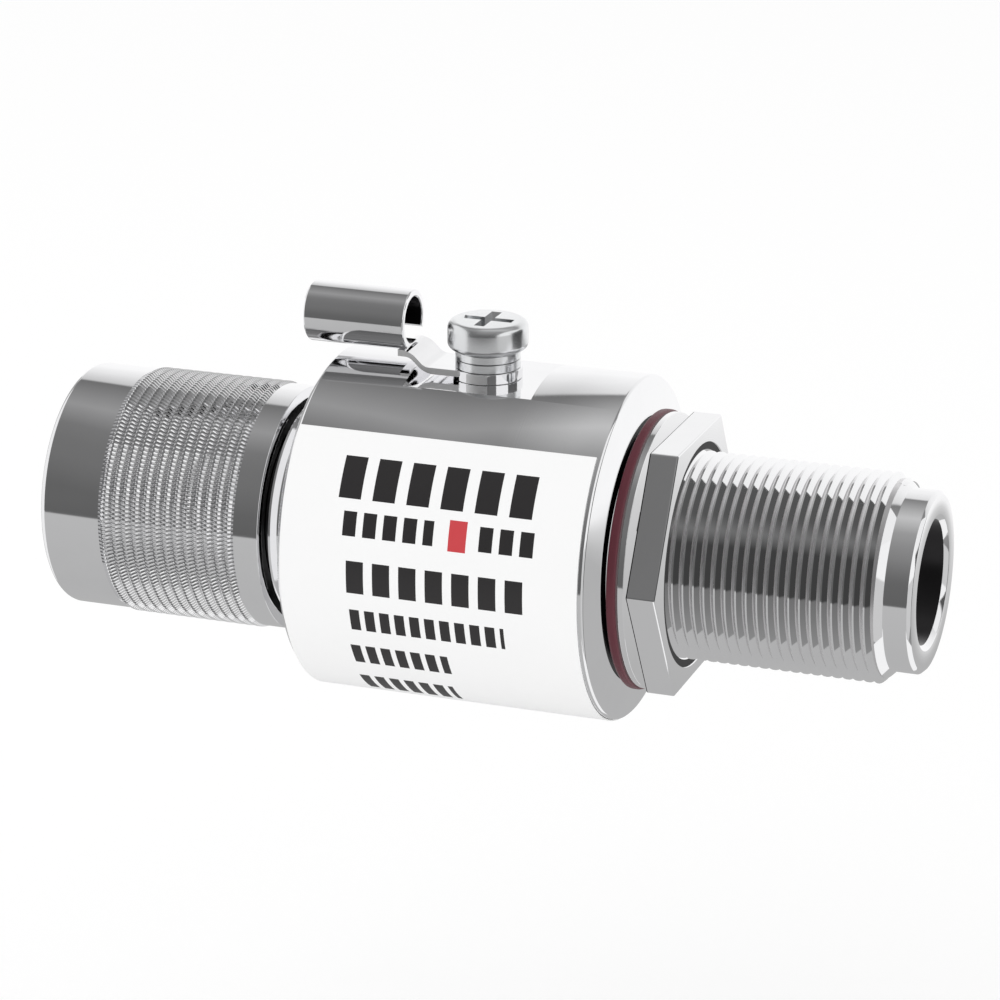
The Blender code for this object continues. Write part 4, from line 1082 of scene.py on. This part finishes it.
make_housing()
make_coupling_nut()
make_plug_body()
make_nut_fittings()
make_centre_line()
make_tube_cap()
make_panel_hardware()
make_ground_screw()
make_ground_lug()
make_label()
for name, finish in (("tube_inner_electrode", cap_nickel), ("tube_outer_electrode", cap_nickel),
                     ("tube_ceramic", tube_ceramic), ("contact_spring", spring_bronze)):
    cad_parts[name].material_slots[0].material = finish


# Studio

# Greys of the studio round the part, from the front horizon at 0 over the top to the back
STUDIO_TONES = [
    (-162, 1.0), (-160, 0.62), (-158, 0.46), (-90, 0.47), (-15, 0.50), (-14, 0.12), (0, 0.128),
    (15, 0.15), (28, 0.165), (44, 0.17), (62, 0.19), (85, 0.32), (107, 0.225), (121, 0.165),
    (124, 0.60), (142, 0.85), (160, 1.0),
]
ARCH_MIDDLE = 0.345
ARCH_FALL = 0.28
ARCH_LIMIT = 0.045
LEFT_WALL = 0.62
RIGHT_WALL = 0.7
RIGHT_FRONT_TONES = [(-1.0, 0.60), (0.05, 0.62), (0.08, 0.95)]
RIGHT_BACK_TONES = [(-1.0, 0.40), (-0.45, 0.20), (-0.30, 0.17), (-0.29, 0.05), (0.03, 0.05),
                    (0.12, 0.17), (0.19, 0.09), (0.31, 0.09), (0.36, 0.9)]
RIGHT_FLOOR = 0.2
RIGHT_FLOOR_DROP = -0.7
RIGHT_FLOOR_TONE = 0.95
RIGHT_GAIN_START = 0.28
RIGHT_GAIN = 11.0
RIGHT_GAIN_LIMIT = 0.8
LEFT_BACK_TONE = 0.38
LEFT_FRONT_TONE = 0.9
WORLD_LEVEL = 0.955


def make_world():
    """A white sweep behind and beside the part, and a darker front and ceiling in its gloss."""
    world = bpy.data.worlds.new("studio")
    world.use_nodes = True
    bpy.context.scene.world = world
    tree = world.node_tree
    links = tree.links
    background = tree.nodes["Background"]
    where = place(tree, 'ShaderNodeTexCoord')
    split = place(tree, 'ShaderNodeSeparateXYZ')
    links.new(where.outputs["Generated"], split.inputs[0])

    def step(operation, first, second=None):
        node = place(tree, 'ShaderNodeMath', operation=operation)
        for socket, value in zip(node.inputs, (first, second)):
            if isinstance(value, (int, float)):
                socket.default_value = value
            elif value is not None:
                links.new(value, socket)
        return node.outputs[0]

    def either(choice, first, second):
        node = place(tree, 'ShaderNodeMix')
        for socket, value in zip((node.inputs["Factor"], node.inputs["A"], node.inputs["B"]),
                                 (choice, first, second)):
            if isinstance(value, float):
                socket.default_value = value
            else:
                links.new(value, socket)
        return node.outputs["Result"]

    x, y, z = (split.outputs[axis] for axis in "XYZ")
    arc = step('DIVIDE', step('ARCTAN2', z, step('MULTIPLY', y, -1)), math.tau)
    aside = step('MULTIPLY', step('ABSOLUTE', step('ADD', x, ARCH_MIDDLE)), ARCH_FALL)
    fall = step('MULTIPLY', step('MINIMUM', aside, ARCH_LIMIT), step('GREATER_THAN', z, 0.0))

    def greys(place_on_ramp, stops):
        node = place(tree, 'ShaderNodeValToRGB')
        links.new(place_on_ramp, node.inputs[0])
        ramp = node.color_ramp
        ramp.elements.remove(ramp.elements[1])
        ramp.elements[0].position = 0
        ramp.elements[0].color = (*[stops[0][1]] * 3, 1)
        for position, grey in stops:
            ramp.elements.new(position).color = (grey, grey, grey, 1)
        return node.outputs["Color"]

    shifted = step('MAXIMUM', step('SUBTRACT', step('ADD', arc, 0.5), fall),
                   step('MULTIPLY', step('GREATER_THAN', z, 0.0), 0.5))
    tones = greys(shifted,
                  [((degrees + 180) / 360, grey) for degrees, grey in STUDIO_TONES])
    gain = step('MULTIPLY', step('MAXIMUM', step('ADD', x, RIGHT_GAIN_START), 0.0), RIGHT_GAIN)
    height = step('MAXIMUM', z, 0.0)
    gain = step('MULTIPLY', step('MINIMUM', gain, RIGHT_GAIN_LIMIT), step('MULTIPLY', height, height))
    tones = step('MULTIPLY', tones, step('ADD', gain, 1.0))

    level = step('MULTIPLY', step('ADD', z, 1.0), 0.5)
    front, behind = (greys(level, [((at + 1) / 2, grey) for at, grey in tones_of_wall])
                     for tones_of_wall in (RIGHT_FRONT_TONES, RIGHT_BACK_TONES))
    right = either(step('GREATER_THAN', y, 0.0), front, behind)
    left = either(step('GREATER_THAN', y, 0.5), LEFT_FRONT_TONE, LEFT_BACK_TONE)
    tone = either(step('GREATER_THAN', x, RIGHT_WALL), tones, right)
    tone = either(step('LESS_THAN', x, -LEFT_WALL), tone, left)
    below = step('MULTIPLY', step('GREATER_THAN', x, RIGHT_FLOOR),
                 step('LESS_THAN', z, RIGHT_FLOOR_DROP))
    tone = either(below, tone, RIGHT_FLOOR_TONE)

    path = place(tree, 'ShaderNodeLightPath')
    tone = either(path.outputs["Is Glossy Ray"], WORLD_LEVEL, tone)
    tone = either(path.outputs["Is Camera Ray"], tone, 1.0)
    links.new(tone, background.inputs["Color"])
    background.inputs["Strength"].default_value = 1


# Floor: its drop below the part and its reach
FLOOR_DROP = 0.06
FLOOR_REACH = 2.0


def make_floor():
    shape = bmesh.new()
    bmesh.ops.create_grid(shape, x_segments=1, y_segments=1, size=FLOOR_REACH)
    bmesh.ops.translate(shape, vec=(0, 0, -FLOOR_DROP), verts=shape.verts)
    mesh = bpy.data.meshes.new("floor")
    shape.to_mesh(mesh)
    shape.free()
    floor = bpy.data.objects.new("floor", mesh)
    bpy.context.collection.objects.link(floor)
    floor.visible_glossy = False
    material, tree, shader = tree_of("pale_floor")
    shader.inputs["Base Color"].default_value = (1, 1, 1, 1)
    shader.inputs["Roughness"].default_value = 1
    shader.inputs["Specular IOR Level"].default_value = 0
    mesh.materials.append(material)


def make_lamp():
    """A large soft lamp at the upper left, which lays the part's shadow on the floor."""
    light = bpy.data.lights.new("soft_lamp", 'AREA')
    light.size = 0.6
    light.energy = LAMP_POWER
    lamp = bpy.data.objects.new("soft_lamp", light)
    lamp.location = LAMP_PLACE
    lamp.rotation_euler = (-Vector(LAMP_PLACE)).to_track_quat('-Z', 'Y').to_euler()
    lamp.visible_glossy = False
    bpy.context.collection.objects.link(lamp)


LAMP_POWER = 0.78
LAMP_PLACE = (-0.3, -0.5, 0.7)


def make_camera():
    """The photograph's view: a long lens from the front right, a little above the part."""
    camera = bpy.data.cameras.new("camera")
    camera.lens = 135.3
    camera.sensor_width = 36
    holder = bpy.data.objects.new("camera", camera)
    holder.location = (0.08173, -0.25720, 0.09650)
    aim = Vector((-0.01160, 0, 0.00249)) - holder.location
    holder.rotation_euler = aim.to_track_quat('-Z', 'Y').to_euler()
    bpy.context.collection.objects.link(holder)
    bpy.context.scene.camera = holder


make_world()
make_floor()
make_lamp()
make_camera()
bpy.context.scene.view_settings.view_transform = 'Standard'
